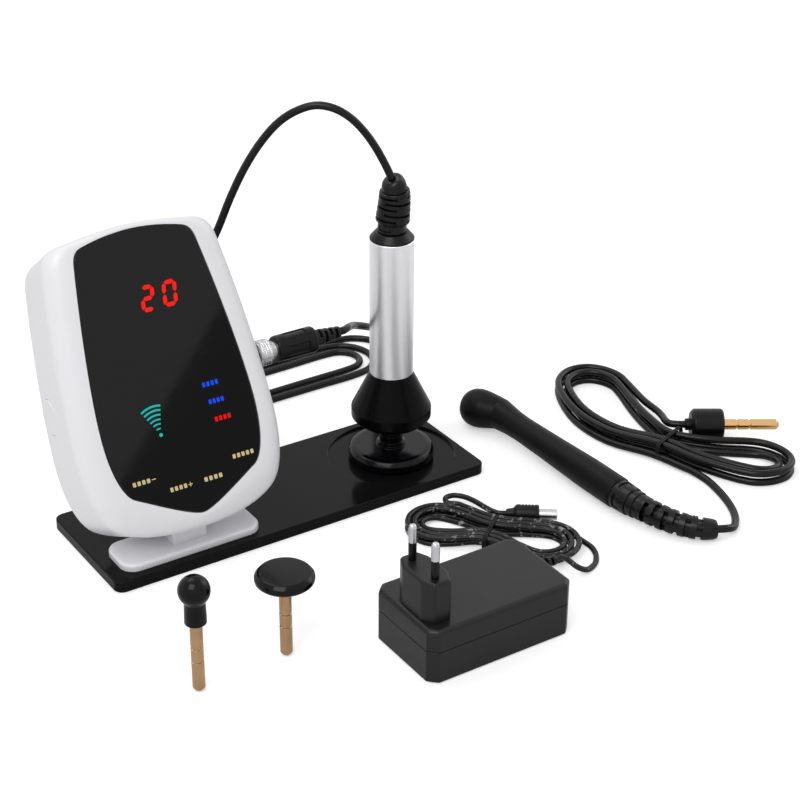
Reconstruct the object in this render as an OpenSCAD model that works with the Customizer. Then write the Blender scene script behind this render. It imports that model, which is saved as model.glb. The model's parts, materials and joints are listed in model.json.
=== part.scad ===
// Facial toning device: console on a tray, handpiece, loose tips, wand and mains adapter.
// Lengths are in millimetres and angles in degrees.
// The origin is the middle of the tray's underside, on the floor.
// X runs along the tray, Z is up, and the console faces -Y.

/* [View] */
// Sub-part to draw, or all of them

/* [Tray] */
// Length of the tray
tray_l = 222; // [216:1:240]
// Depth of the tray from front to back
tray_w = 77; // [75:1:90]
// Thickness of the tray
tray_h = 6; // [5.5:0.5:7]
// Diameter of the shallow recess that the handpiece stands in
recess_d = 70; // [60:1:72]
// Depth of that recess
recess_depth = 1.5; // [1:0.25:2]

/* [Console foot and hinge] */
// Length of the foot plate
foot_l = 78; // [72:1:90]
// Depth of the foot plate
foot_w = 26.5; // [24:0.5:27]
// Thickness of the foot plate
foot_h = 4; // [3.6:0.1:4.1]
// Width of the knuckle that carries the console
knuckle_w = 19; // [16:0.5:21]
// Radius of the rounded top of the knuckle
knuckle_r = 6; // [5:0.1:6.2]
// Diameter of the hinge pin
hinge_pin_d = 3; // [2:0.5:4]
// Angle that the face leans back from upright
lean = 27; // [26:0.5:28]

/* [Console] */
// Depth of the front shell behind the face
shell_depth = 40; // [39.5:0.5:42]
// Thickness of the rear cover
cover_depth = 5; // [4.5:0.5:6]
// Thickness of the touch glass
glass_t = 1.9; // [1.5:0.1:1.9]
// Thickness of the circuit boards
board_t = 1.6; // [1:0.2:1.8]

/* [Side connector] */
// Diameter of the knurled coupling nut
nut_d = 14; // [13:0.5:16]
// Length of the coupling nut
nut_l = 7.4; // [6:0.2:7.6]
// Diameter of the chromed plug barrel
barrel_d = 9.3; // [8.8:0.1:10]
// Diameter of the plug grip
grip_d = 14; // [12:0.5:15]

/* [Handpiece] */
// Diameter of the chromed tube
tube_d = 23.6; // [23:0.1:25]
// Wall of the chromed tube
tube_wall = 1.5; // [1:0.1:1.6]
// Widest diameter of the black cone
cone_d = 43.6; // [40:0.2:50]
// Diameter of the large disc tip
big_disc_d = 47; // [40:0.5:52]
// Thickness of the large disc tip
big_disc_h = 8; // [6:0.5:9]

/* [Tips] */
// Diameter of the brass tip pins
pin_d = 6; // [5:0.1:6.4]
// Bare length of a tip pin
pin_l = 37; // [34:0.5:37]
// Diameter of the ball tip
ball_d = 15; // [13:0.2:20]
// Diameter of the medium disc tip
mid_disc_d = 28.4; // [22:0.2:36]

/* [Wand] */
// Diameter of the wand handle at its cord end
wand_d = 17.5; // [16:0.5:18]
// Diameter of the wand's jack body
jack_d = 18; // [16:0.5:19]
// Diameter of the wand's jack pin
jack_pin_d = 6; // [5:0.1:6.4]

/* [Adapter] */
// Length of the adapter
adapter_l = 82; // [80:0.5:84]
// Width of the adapter
adapter_w = 49.5; // [48:0.5:51]
// Height of the adapter's box
adapter_h = 28.5; // [27:0.5:29]
// Diameter of the mains pins
mains_pin_d = 4; // [3.8:0.1:4.4]
// Distance between the two mains pins
mains_pitch = 18.6; // [18:0.1:19]

/* [Cords] */
// Diameter of the handpiece and wand cords
cord_d = 4.2; // [3.8:0.1:4.3]
// Diameter of the adapter cord
thin_d = 3; // [2.6:0.1:3.1]

/* [Hidden] */

// Clearances: tight fit between fixed pieces, running fit, and open play at the knuckle
tight = 0.03;
running = 0.05;
side_play = 0.7;

// Where the handpiece stands, and where the knuckle's pin is
stand = [73.5, -1];
hinge = [-64.5, -21, 21];
// Position of the lower front of the console's face, in the leaning frame's own origin
face_origin = [-64.5, -45, 33.4];
// The hinge pin in the leaning frame: depth behind the face, and height up the face
hinge_c = (hinge.y - face_origin.y) * cos(lean) - (hinge.z - face_origin.z) * sin(lean);
hinge_b = (hinge.y - face_origin.y) * sin(lean) + (hinge.z - face_origin.z) * cos(lean);

// Right half of the console's widest outline, as Bezier pieces of side and height
SHELL = [[[0, -5.5], [18, -5.5], [33, -3], [43, 4]],
    [[43, 4], [50, 9], [54.3, 22], [55, 40]],
    [[55, 40], [55.7, 58], [53, 100], [48, 134]],
    [[48, 134], [47, 140.8], [44, 145.5], [37, 146.5]],
    [[37, 146.5], [25, 148.2], [13, 150], [0, 150]]];
// Right half of the glass panel's outline, in pieces that match those of the shell
PANEL = [[[0, 2.4], [6, 2.4], [24, 13], [33, 17.8]],
    [[33, 17.8], [38, 20.5], [42, 32], [42, 50]],
    [[42, 50], [42, 72], [37, 110], [33, 134]],
    [[33, 134], [32.2, 139.5], [30, 141.7], [26, 142.5]],
    [[26, 142.5], [18, 144.6], [9, 146], [0, 146]]];
// Steps that each of those pieces is drawn in
STEPS = [5, 5, 5, 4, 4];

function bez(b, t) = pow(1 - t, 3) * b[0] + 3 * t * pow(1 - t, 2) * b[1]
    + 3 * t * t * (1 - t) * b[2] + pow(t, 3) * b[3];
function half(q) = [for (i = [0:4]) for (k = [0:STEPS[i] - 1]) bez(q[i], k / STEPS[i])];
// Closed outline: up the right side, over the top and down the left side
function outline(q) = concat(half(q), [q[4][3]],
    [for (i = [len(half(q)) - 1:-1:1]) [-half(q)[i].x, half(q)[i].y]]);
function scaled(o, sx, sy) = [for (p = o) [p.x * sx, 72 + (p.y - 72) * sy]];
function mix(o, q, t) = [for (i = [0:len(o) - 1]) o[i] * (1 - t) + q[i] * t];
// The top of the console drops and narrows a little towards the back
function ring(o, c) = [for (p = o) let (k = max(p.y, 0) * c / 45)
    [p.x * (1 - 0.0004 * k), c, p.y - 0.04 * k]];

shell_o = outline(SHELL);
panel_o = outline(PANEL);
face_o = scaled(panel_o, 1.02, 1.011);
rear_o = scaled(shell_o, 0.86, 0.87);
cover_back = shell_depth + cover_depth;

// Solid through a list of rings that all have the same number of points
module loft(rings) {
    n = len(rings[0]);
    m = len(rings);
    pts = [for (r = rings) each r];
    sides = [for (j = [0:m - 2]) for (i = [0:n - 1]) let (a = j * n + i, b = j * n + (i + 1) % n)
        each [[a, b, a + n], [b, b + n, a + n]]];
    front = [for (i = [n - 1:-1:0]) i];
    back = [for (i = [0:n - 1]) (m - 1) * n + i];
    polyhedron(points = pts, faces = concat([front], [back], sides));
}

// Everything that leans with the console is drawn upright inside this module
module leaning() {
    translate(face_origin)
        rotate([-lean, 0, 0])
            children();
}

// Cylinder along the depth of the console
module deep(a, b, c0, c1, r) {
    translate([a, c0, b])
        rotate([-90, 0, 0])
            cylinder(h = c1 - c0, r = r, $fn = 32);
}

// Cylinder along X
module along_x(x0, x1, y, z, r1, r2 = -1, fn = 48) {
    translate([x0, y, z])
        rotate([0, 90, 0])
            cylinder(h = x1 - x0, r1 = r1, r2 = r2 < 0 ? r1 : r2, $fn = fn);
}

// Plate with round corners and a bevelled top edge, standing on z = 0
module plate(l, w, h, r, bevel) {
    for (x = [-1, 1])
        for (y = [-1, 1])
            translate([x * (l / 2 - r), y * (w / 2 - r), 0]) {
                cylinder(h = h - bevel, r = r, $fn = 48);
                translate([0, 0, h - bevel])
                    cylinder(h = bevel, r1 = r, r2 = r - bevel, $fn = 48);
            }
    translate([-l / 2 + r, 0, 0])
        rotate([90, 0, 90])
            linear_extrude(height = l - 2 * r)
                polygon([[-w / 2, 0], [w / 2, 0], [w / 2, h - bevel], [w / 2 - bevel, h],
                    [-w / 2 + bevel, h], [-w / 2, h - bevel]]);
    translate([0, w / 2 - r, 0])
        rotate([90, 0, 0])
            linear_extrude(height = w - 2 * r)
                polygon([[-l / 2, 0], [l / 2, 0], [l / 2, h - bevel], [l / 2 - bevel, h],
                    [-l / 2 + bevel, h], [-l / 2, h - bevel]]);
}

// ---- Tray, foot and hinge ----

foot_screw_x = 30;

module tray() {
    color([0.17, 0.17, 0.18])
        difference() {
            plate(tray_l, tray_w, tray_h, 5, 0.8);
            translate([stand.x, stand.y, tray_h - recess_depth])
                cylinder(h = 5, r = recess_d / 2, $fn = 96);
            for (s = [-1, 1])
                translate([hinge.x + s * foot_screw_x, hinge.y, -1]) {
                    cylinder(h = 20, r = 1.7, $fn = 32);
                    cylinder(h = 3.4, r = 3.3, $fn = 32);
                }
        }
}

module foot() {
    color([0.93, 0.93, 0.94])
        difference() {
            union() {
                translate([hinge.x, hinge.y + 0.75, tray_h])
                    plate(foot_l, foot_w, foot_h, 8, 1.4);
                translate([hinge.x - knuckle_w / 2, hinge.y - knuckle_r, tray_h + 1])
                    cube([knuckle_w, 2 * knuckle_r, hinge.z - tray_h - 1]);
                along_x(hinge.x - knuckle_w / 2, hinge.x + knuckle_w / 2, hinge.y, hinge.z, knuckle_r);
            }
            along_x(hinge.x - 30, hinge.x + 30, hinge.y, hinge.z, hinge_pin_d / 2 + running);
            for (s = [-1, 1])
                translate([hinge.x + s * foot_screw_x, hinge.y, tray_h - 1])
                    cylinder(h = 4.4, r = 1.5 + tight, $fn = 32);
        }
}

module foot_screws() {
    color([0.72, 0.72, 0.74])
        for (s = [-1, 1])
            translate([hinge.x + s * foot_screw_x, hinge.y, 0.4])
                difference() {
                    union() {
                        cylinder(h = 2, r = 2.9, $fn = 32);
                        cylinder(h = 8.6, r = 1.5, $fn = 32);
                    }
                    for (a = [0, 90])
                        rotate([0, 0, a])
                            translate([-1.8, -0.3, -1])
                                cube([3.6, 0.6, 1.9]);
                }
}

// Half length of the pin, and half width of the slot in the shell
slot_half = knuckle_w / 2 + side_play;

module hinge_pin() {
    color([0.75, 0.75, 0.77])
        along_x(hinge.x - slot_half - 2.8, hinge.x + slot_half + 2.8, hinge.y, hinge.z, hinge_pin_d / 2);
}

module friction_washers() {
    color([0.8, 0.8, 0.8])
        for (s = [-1, 1])
            translate([hinge.x + s * (knuckle_w / 2 + side_play / 2) - 0.25, hinge.y, hinge.z])
                rotate([0, 90, 0])
                    difference() {
                        cylinder(h = 0.5, r = 5, $fn = 32);
                        translate([0, 0, -1])
                            cylinder(h = 3, r = hinge_pin_d / 2 + running, $fn = 32);
                    }
}

// ---- Console ----

// Screw places: cover screws, display board screws and main board screws
cover_at = [[-44, 112], [44, 112], [-47, 32], [47, 32]];
display_at = [[-40, 46], [40, 46], [-36, 104], [36, 104]];
board_at = [[-29, 34], [29, 34], [-29, 100], [29, 100]];
// Axis of the side socket and of the cap opposite it
socket_b = 69.7;
socket_c = 15;
cap_b = 66;
cap_c = shell_depth - 10;
inlet_a = -24;
inlet_b = 17;
board_c = shell_depth - 11;

module front_shell() {
    color([0.93, 0.93, 0.95])
        leaning()
            difference() {
                union() {
                    difference() {
                        loft([ring(face_o, 0), ring(mix(face_o, shell_o, 0.36), 0.6),
                            ring(mix(face_o, shell_o, 0.7), 2.6), ring(mix(face_o, shell_o, 0.93), 5.9),
                            ring(shell_o, 9.5), ring(shell_o, shell_depth)]);
                        loft([ring(scaled(mix(face_o, shell_o, 0.4), 0.95, 0.962), 3.8),
                            ring(scaled(shell_o, 0.95, 0.966), 9.5),
                            ring(scaled(shell_o, 0.95, 0.966), shell_depth + 1)]);
                    }
                    for (p = cover_at)
                        deep(p.x, p.y, 6, shell_depth - 0.2, 3.4);
                    for (p = display_at)
                        deep(p.x, p.y, 3, 7, 2.4);
                    translate([-slot_half - 3, hinge_c - 10.5, -3.4])
                        cube([2 * slot_half + 6, shell_depth - 1 - hinge_c + 10.5, 14.4]);
                }
                translate([0, glass_t + 0.1, 0])
                    rotate([90, 0, 0])
                        linear_extrude(height = 5)
                            polygon(scaled(panel_o, 1.002, 1.002));
                translate([0, 6, 0])
                    rotate([90, 0, 0])
                        linear_extrude(height = 6)
                            polygon(scaled(panel_o, 0.84, 0.9));
                along_x(-slot_half, slot_half, hinge_c, hinge_b, knuckle_r + 0.9);
                translate([-slot_half, hinge_c - 6.9, hinge_b - 20])
                    cube([2 * slot_half, 17.4, 20]);
                along_x(-slot_half - 6, slot_half + 6, hinge_c, hinge_b, hinge_pin_d / 2 + tight, fn = 32);
                along_x(45, 60, socket_c, socket_b, 4 + tight);
                along_x(-60, -45, cap_c, cap_b, 9 + tight);
                for (p = cover_at)
                    deep(p.x, p.y, 26, 50, 1.25 + tight);
                for (p = display_at)
                    deep(p.x, p.y, 4.4, 12, 0.9 + tight);
            }
}

module rear_cover() {
    color([0.91, 0.91, 0.93])
        leaning()
            difference() {
                union() {
                    loft([ring(scaled(shell_o, 0.999, 0.999), shell_depth),
                        ring(mix(shell_o, rear_o, 0.22), shell_depth + cover_depth * 0.45),
                        ring(mix(shell_o, rear_o, 0.6), shell_depth + cover_depth * 0.82),
                        ring(rear_o, cover_back)]);
                    difference() {
                        loft([ring(scaled(shell_o, 0.94, 0.956), shell_depth - 2.5),
                            ring(scaled(shell_o, 0.94, 0.956), shell_depth + 1)]);
                        loft([ring(scaled(shell_o, 0.91, 0.936), shell_depth - 4),
                            ring(scaled(shell_o, 0.91, 0.936), shell_depth)]);
                        translate([-slot_half - 5, shell_depth - 5, -20])
                            cube([2 * slot_half + 10, 5, 35]);
                        for (p = cover_at)
                            deep(p.x, p.y, shell_depth - 5, shell_depth, 5.4);
                        along_x(-60, -40, cap_c, cap_b, 10.4);
                    }
                    for (p = board_at)
                        deep(p.x, p.y, board_c + board_t, shell_depth + 1, 2.6);
                }
                for (p = cover_at) {
                    deep(p.x, p.y, shell_depth - 5, cover_back + 5, 1.4);
                    deep(p.x, p.y, shell_depth + 2.2, cover_back + 5, 2.8);
                }
                for (p = board_at)
                    deep(p.x, p.y, board_c - 1, shell_depth - 1, 0.9 + tight);
                deep(inlet_a, inlet_b, shell_depth - 1, cover_back + 1, 4.2);
            }
}

module touch_glass() {
    color([0.11, 0.11, 0.12])
        leaning()
            translate([0, glass_t, 0])
                rotate([90, 0, 0])
                    linear_extrude(height = glass_t)
                        polygon(scaled(panel_o, 0.998, 0.998));
}

module display_board() {
    color([0.05, 0.25, 0.13])
        leaning()
            difference() {
                translate([0, 7 + board_t, 0])
                    rotate([90, 0, 0])
                        linear_extrude(height = board_t)
                            polygon([[-43, 24], [43, 24], [43, 62], [39, 108], [30, 128], [-30, 128],
                                [-39, 108], [-43, 62]]);
                for (p = display_at)
                    deep(p.x, p.y, 5, 12, 1);
            }
}

module led_display() {
    color([0.3, 0.04, 0.04])
        leaning()
            translate([-8, 2.4, 98])
                cube([30, 4.6, 24]);
}

module key_lights() {
    color([0.8, 0.85, 0.9])
        leaning()
            for (p = [[-26.6, 26], [-8.4, 26], [10, 26], [27, 26], [-17, 46], [-15, 54], [-8, 51], [-2, 46],
                [20, 62], [22, 54], [22, 45], [-20, 60]])
                translate([p.x - 1.6, 5.6, p.y - 1.6])
                    cube([3.2, 1.4, 3.2]);
}

module small_screw(a, b, head_c, tip_c, r, head_r) {
    difference() {
        union() {
            deep(a, b, tip_c, head_c, r);
            deep(a, b, head_c - 1.2, head_c, head_r);
        }
        for (k = [0, 90])
            translate([a, head_c, b])
                rotate([0, k, 0])
                    translate([-head_r * 0.6, -0.6, -0.2])
                        cube([head_r * 1.2, 1, 0.4]);
    }
}

module main_board() {
    color([0.05, 0.25, 0.13])
        leaning()
            difference() {
                translate([-34, board_c, 28])
                    cube([68, board_t, 80]);
                for (p = board_at)
                    deep(p.x, p.y, board_c - 1, board_c + 3, 1);
            }
}

module step_up_transformer() {
    color([0.75, 0.6, 0.2])
        leaning()
            translate([0, board_c, 74])
                rotate([90, 0, 0]) {
                    translate([-13, -11, 0])
                        cube([26, 22, 3]);
                    cylinder(h = 15, r = 8.5, $fn = 48);
                    translate([-12, -10, 12])
                        cube([24, 20, 4]);
                }
}

module dc_inlet() {
    color([0.1, 0.1, 0.1])
        leaning()
            difference() {
                union() {
                    deep(inlet_a, inlet_b, shell_depth - 1, cover_back - 0.2, 4.1);
                    translate([inlet_a - 5.5, shell_depth - 12, inlet_b - 5.5])
                        cube([11, 12 - 0.1, 11]);
                }
                deep(inlet_a, inlet_b, shell_depth - 6, cover_back + 1, 2.85);
            }
}

module board_screws() {
    color([0.7, 0.7, 0.72])
        leaning() {
            for (p = display_at)
                small_screw(p.x, p.y, 7 + board_t + 1.2, 5, 0.9, 1.8);
            for (p = board_at)
                translate([0, 2 * board_c, 0])
                    mirror([0, 1, 0])
                        small_screw(p.x, p.y, board_c + 1.2, board_c - 5.5, 0.9, 1.8);
        }
}

module cover_screws() {
    color([0.3, 0.3, 0.32])
        leaning()
            for (p = cover_at)
                small_screw(p.x, p.y, shell_depth + 3.4, shell_depth - 9, 1.25, 2.6);
}

module side_cap() {
    color([0.9, 0.9, 0.92])
        leaning()
            difference() {
                union() {
                    along_x(-54.4, -49.8, cap_c, cap_b, 9);
                    along_x(-50, -48.4, cap_c, cap_b, 10);
                }
                along_x(-52.8, -48, cap_c, cap_b, 7.4);
            }
}

// ---- Side connector, with its axis level along X ----

axis_y = face_origin.y + socket_c * cos(lean) + socket_b * sin(lean);
axis_z = face_origin.z - socket_c * sin(lean) + socket_b * cos(lean);
wall_x = face_origin.x + 55;

module panel_socket() {
    color([0.75, 0.75, 0.78])
        difference() {
            union() {
                along_x(wall_x - 12, wall_x + 2.6, axis_y, axis_z, 4);
                along_x(wall_x - 7, wall_x - 4.6, axis_y, axis_z, 6.5);
            }
            along_x(wall_x - 9, wall_x + 4, axis_y, axis_z, 3 + tight);
        }
}

module coupling_nut() {
    color([0.85, 0.85, 0.87])
        difference() {
            along_x(wall_x + 0.9, wall_x + 0.9 + nut_l, axis_y, axis_z, nut_d / 2, fn = 72);
            along_x(wall_x, wall_x + 20, axis_y, axis_z, barrel_d / 2 + running, fn = 72);
            for (k = [0:23])
                translate([wall_x + 2.1, axis_y, axis_z])
                    rotate([k * 15, 0, 0])
                        translate([0, -0.4, nut_d / 2 - 0.5])
                            cube([nut_l - 2.4, 0.8, 2]);
        }
}

module plug_barrel() {
    color([0.85, 0.85, 0.87])
        union() {
            along_x(wall_x + 3, wall_x + 16, axis_y, axis_z, barrel_d / 2, fn = 72);
            along_x(wall_x - 6, wall_x + 4, axis_y, axis_z, 3);
        }
}

module plug_grip() {
    color([0.1, 0.1, 0.1])
        difference() {
            union() {
                along_x(wall_x + 11.6, wall_x + 13, axis_y, axis_z, grip_d / 2 - 1, grip_d / 2);
                along_x(wall_x + 13, wall_x + 34, axis_y, axis_z, grip_d / 2);
                along_x(wall_x + 34, wall_x + 35, axis_y, axis_z, grip_d / 2, grip_d / 2 - 1);
            }
            along_x(wall_x, wall_x + 16.5, axis_y, axis_z, barrel_d / 2 + tight, fn = 72);
            for (s = [-1, 1])
                translate([wall_x + 16, axis_y - 3.5, axis_z + s * (grip_d / 2 + 0.6) - 1])
                    cube([14, 7, 2]);
            for (s = [-1, 1])
                translate([wall_x + 16, axis_y + s * (grip_d / 2 + 0.6) - 1, axis_z - 3.5])
                    cube([14, 2, 7]);
        }
}

module plug_boot() {
    color([0.1, 0.1, 0.1])
        difference() {
            along_x(wall_x + 35, wall_x + 51, axis_y, axis_z, 4.6, 2.7);
            for (k = [0:3])
                for (s = [-1, 1])
                    translate([wall_x + 37 + 3.4 * k, axis_y - 5, axis_z])
                        rotate([90 * (k % 2), 0, 0])
                            translate([0, 0, s * 4.6 - 1.6])
                                cube([1.6, 10, 3.2]);
        }
}

// ---- Handpiece on its large disc tip ----

stand_z = tray_h - recess_depth;
cone_z = 27;
tube_z0 = 57;
tube_z1 = 134.7;
collar_z = 139.2;
tube_r = tube_d / 2;

// Turned shape about the handpiece's axis
module turned(profile, fn = 72) {
    translate([stand.x, stand.y, 0])
        rotate_extrude($fn = fn)
            polygon(profile);
}

module large_disc() {
    r = big_disc_d / 2;
    top = stand_z + big_disc_h;
    color([0.06, 0.05, 0.08])
        turned([[0, stand_z], [r - 2, stand_z], [r - 0.5, stand_z + 0.7], [r, stand_z + 2.2],
            [r, top - 3], [r - 0.9, top - 1.1], [r - 2.8, top], [8, top], [8, top + 1.6], [6.4, top + 2.2],
            [6.4, cone_z - 0.4], [pin_d / 2 + tight, cone_z - 0.4], [pin_d / 2 + tight, cone_z - 9],
            [0, cone_z - 9]]);
}

// Turned pin with two grooves, its tip pointing up from z = 0
module pin_shape(d, l, root) {
    r = d / 2;
    rotate_extrude($fn = 48)
        polygon([[0, -root], [r, -root], [r, l - 24.5], [r - 0.5, l - 24.3], [r - 0.5, l - 23.3],
            [r, l - 23.1], [r, l - 17.4], [r - 0.5, l - 17.2], [r - 0.5, l - 16.2], [r, l - 16],
            [r, l - 1.6], [r - 1.2, l - 0.3], [r - 2, l], [0, l]]);
}

module large_disc_pin() {
    color([0.69, 0.54, 0.36])
        translate([stand.x, stand.y, cone_z])
            pin_shape(pin_d, pin_l, 8.6);
}

module handpiece_cone() {
    r = cone_d / 2;
    inner = tube_r - tube_wall - tight;
    color([0.05, 0.05, 0.05])
        turned([[5 + tight, cone_z], [r - 4.3, cone_z], [r, cone_z + 4], [r, cone_z + 9.5],
            [tube_r, tube_z0], [inner, tube_z0], [inner, tube_z0 + 8], [5 + tight, tube_z0 + 8]]);
}

module tip_socket() {
    color([0.7, 0.56, 0.35])
        turned([[pin_d / 2 + running, cone_z + 0.6], [5, cone_z + 0.6], [5, tube_z0 + 12],
            [0, tube_z0 + 12], [0, tube_z0 + 8], [pin_d / 2 + running, tube_z0 + 8]], 48);
}

module handpiece_tube() {
    color([0.85, 0.85, 0.87])
        turned([[tube_r - tube_wall, tube_z0 + 0.1], [tube_r, tube_z0 + 0.1], [tube_r, tube_z1],
            [tube_r - tube_wall, tube_z1]], 96);
}

module insulating_core() {
    color([0.85, 0.85, 0.8])
        difference() {
            turned([[0, tube_z0 + 12.3], [9.5, tube_z0 + 12.3], [9.5, tube_z1 - 8], [0, tube_z1 - 8]], 48);
            translate([stand.x, stand.y, tube_z0 + 10])
                cylinder(h = 90, r = 1.6, $fn = 32);
        }
}

module end_collar() {
    inner = tube_r - tube_wall - tight;
    color([0.12, 0.12, 0.12])
        turned([[3, tube_z1 - 7], [inner, tube_z1 - 7], [inner, tube_z1 + 0.1], [tube_r, tube_z1 + 0.1],
            [tube_r, tube_z1 + 1], [8.6, collar_z], [3, collar_z]]);
}

// ---- Loose tips, each standing on its pin ----

ball_at = [-113.3, -127.8];
medium_at = [-65.8, -125.6];

module ball_head() {
    color([0.06, 0.05, 0.08])
        translate([ball_at.x, ball_at.y, 0])
            difference() {
                union() {
                    translate([0, 0, pin_l])
                        cylinder(h = 11, r1 = 5.2, r2 = 4.9, $fn = 48);
                    translate([0, 0, 54])
                        sphere(r = ball_d / 2, $fn = 48);
                }
                translate([0, 0, pin_l - 1])
                    cylinder(h = 7.4, r = pin_d / 2 + tight, $fn = 48);
            }
}

// Pin of a loose tip, turned over so that its end is on the floor
module standing_pin(at) {
    color([0.69, 0.54, 0.36])
        translate([at.x, at.y, pin_l])
            mirror([0, 0, 1])
                pin_shape(pin_d, pin_l, 6);
}

module ball_pin() {
    standing_pin(ball_at);
}

module medium_disc() {
    r = mid_disc_d / 2;
    color([0.06, 0.05, 0.08])
        translate([medium_at.x, medium_at.y, 0])
            rotate_extrude($fn = 72)
                polygon([[pin_d / 2 + tight, pin_l], [5, pin_l], [5, 39], [6.2, 39.7], [r - 2.6, 39.7],
                    [r - 0.7, 40.4], [r, 41.8], [r, 43.6], [r - 0.7, 45.2], [r - 2.6, 46], [0, 46],
                    [0, 43.2], [pin_d / 2 + tight, 43.2]]);
}

module medium_disc_pin() {
    standing_pin(medium_at);
}

// ---- Wand, lying on the floor ----

wand_end = [149.1, -107.1, wand_d / 2];
wand_joint = [145, -3, 11.2];
// Way that the head points, seen from above
head_turn = 118;
wand_length = norm(wand_joint - wand_end);
wand_turn = atan2(wand_joint.y - wand_end.y, wand_joint.x - wand_end.x);
wand_rise = atan2(wand_joint.z - wand_end.z, wand_length);

// Drawn along +Z inside this module, from the cord end to the head
module along_wand() {
    translate(wand_end)
        rotate([0, 90 - wand_rise, wand_turn])
            children();
}

// Rounded head across the end of the handle, drawn larger all round by grow
module head_shape(grow) {
    translate(wand_joint)
        rotate([0, 90, head_turn])
            rotate_extrude($fn = 64)
                polygon([[0, 0.3 - grow], [6.2 + grow, 0.3 - grow], [7.8 + grow, 2.2], [9.6 + grow, 5.4],
                    [10.8 + grow, 9], [11.1 + grow, 12], [10.6 + grow, 15.2], [9.1 + grow, 18.2],
                    [6.8 + grow, 20.6 + grow], [3.8 + grow, 22.2 + grow], [0, 22.8 + grow]]);
}

module wand_handle() {
    r = wand_d / 2;
    color([0.1, 0.1, 0.1])
        difference() {
            along_wand()
                rotate_extrude($fn = 64)
                    polygon([[0, 0], [r - 1.2, 0], [r, 1.2], [r, 24], [7.7, 60], [7.3, 92],
                        [7.3, wand_length - 3], [6, wand_length - 0.4], [0, wand_length - 0.4]]);
            along_wand()
                translate([0, 0, wand_length - 9])
                    cylinder(h = 10, r = 3 + tight, $fn = 32);
            head_shape(tight);
        }
}

module wand_head() {
    color([0.12, 0.12, 0.12])
        union() {
            along_wand()
                translate([0, 0, wand_length - 8.6])
                    cylinder(h = 9.4, r = 3, $fn = 32);
            head_shape(0);
        }
}

// ---- Jack of the wand's cord ----

jack_rear = [231.2, -69.2, jack_d / 2];
jack_turn = -32.5;

module along_jack() {
    translate(jack_rear)
        rotate([0, 0, jack_turn])
            rotate([0, 90, 0])
                children();
}

module jack_body() {
    r = jack_d / 2;
    color([0.06, 0.06, 0.06])
        along_jack()
            difference() {
                rotate_extrude($fn = 64)
                    polygon([[0, -3], [3.4, -3], [3.4, 0], [r - 1.6, 0], [r, 1.6], [r, 17.4],
                        [r - 0.8, 18.2], [0, 18.2]]);
                translate([0, 0, 10])
                    cylinder(h = 10, r = jack_pin_d / 2 + tight, $fn = 48);
            }
}

module jack_pin() {
    color([0.85, 0.66, 0.3])
        along_jack()
            translate([0, 0, 18.2])
                pin_shape(jack_pin_d, 32, 8);
}

// ---- Mains adapter ----

adapter_at = [17.8, -159.3];
split_z = 17;
tower_x = adapter_at.x - adapter_l / 2 + 10.2;
tower_z = adapter_h + 21.5;
pins_x = tower_x - 1;
pins_y = adapter_at.y - 3.7;
// Heights of the sleeves' top and of the pins' top
sleeve_z = adapter_h + 31;
pins_z = adapter_h + 40.5;
shell_t = 2.2;
board_z = 5;
relief_y = adapter_at.y + 13.3;
relief_z = 14;

module adapter_base() {
    color([0.2, 0.2, 0.21]) {
        difference() {
            translate([adapter_at.x, adapter_at.y, split_z])
                mirror([0, 0, 1])
                    plate(adapter_l, adapter_w, split_z, 4, 1.6);
            translate([adapter_at.x, adapter_at.y, shell_t])
                linear_extrude(height = 30)
                    square([adapter_l - 2 * shell_t - 1, adapter_w - 2 * shell_t - 1], center = true);
            along_x(adapter_at.x + 22, adapter_at.x + 62, relief_y, relief_z, 3.1 + tight, fn = 32);
        }
        for (x = [-1, 1])
            for (y = [-1, 1])
                translate([adapter_at.x + 30 * x, adapter_at.y + 14 * y, shell_t - 0.2])
                    cylinder(h = board_z - shell_t + 0.2 - tight, r = 2, $fn = 32);
    }
}

module adapter_top() {
    color([0.2, 0.2, 0.21])
        difference() {
            union() {
                translate([adapter_at.x, adapter_at.y, split_z + 0.1])
                    plate(adapter_l, adapter_w, adapter_h - split_z - 0.1, 4, 1.6);
                translate([tower_x, pins_y, adapter_h - 3])
                    linear_extrude(height = tower_z - adapter_h + 1.6)
                        polygon([[-4.5, -14.6], [4.5, -14.6], [7.6, -8], [7.6, 8], [4.5, 14.6], [-4.5, 14.6],
                            [-7.6, 8], [-7.6, -8]]);
                translate([tower_x, pins_y, tower_z - 1.4])
                    linear_extrude(height = 1.4)
                        polygon([[-3.7, -13.4], [3.7, -13.4], [6.5, -7.4], [6.5, 7.4], [3.7, 13.4],
                            [-3.7, 13.4], [-6.5, 7.4], [-6.5, -7.4]]);
            }
            translate([adapter_at.x, adapter_at.y, split_z - 1])
                linear_extrude(height = adapter_h - split_z + 1 - shell_t)
                    square([adapter_l - 2 * shell_t - 1, adapter_w - 2 * shell_t - 1], center = true);
            for (s = [-1, 1])
                translate([pins_x, pins_y + s * mains_pitch / 2, adapter_h - 4])
                    cylinder(h = 40, r = mains_pin_d / 2 - 0.25 + tight, $fn = 48);
        }
}

module mains_pins() {
    r = mains_pin_d / 2;
    color([0.8, 0.8, 0.82])
        for (s = [-1, 1])
            translate([pins_x, pins_y + s * mains_pitch / 2, 0])
                rotate_extrude($fn = 48)
                    polygon([[0, 24], [r - 0.6, 24], [r - 0.6, sleeve_z + 0.1], [r, sleeve_z + 0.1],
                        [r, pins_z - 1.4], [r - 0.6, pins_z - 0.4], [r - 1.4, pins_z], [0, pins_z]]);
}

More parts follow.
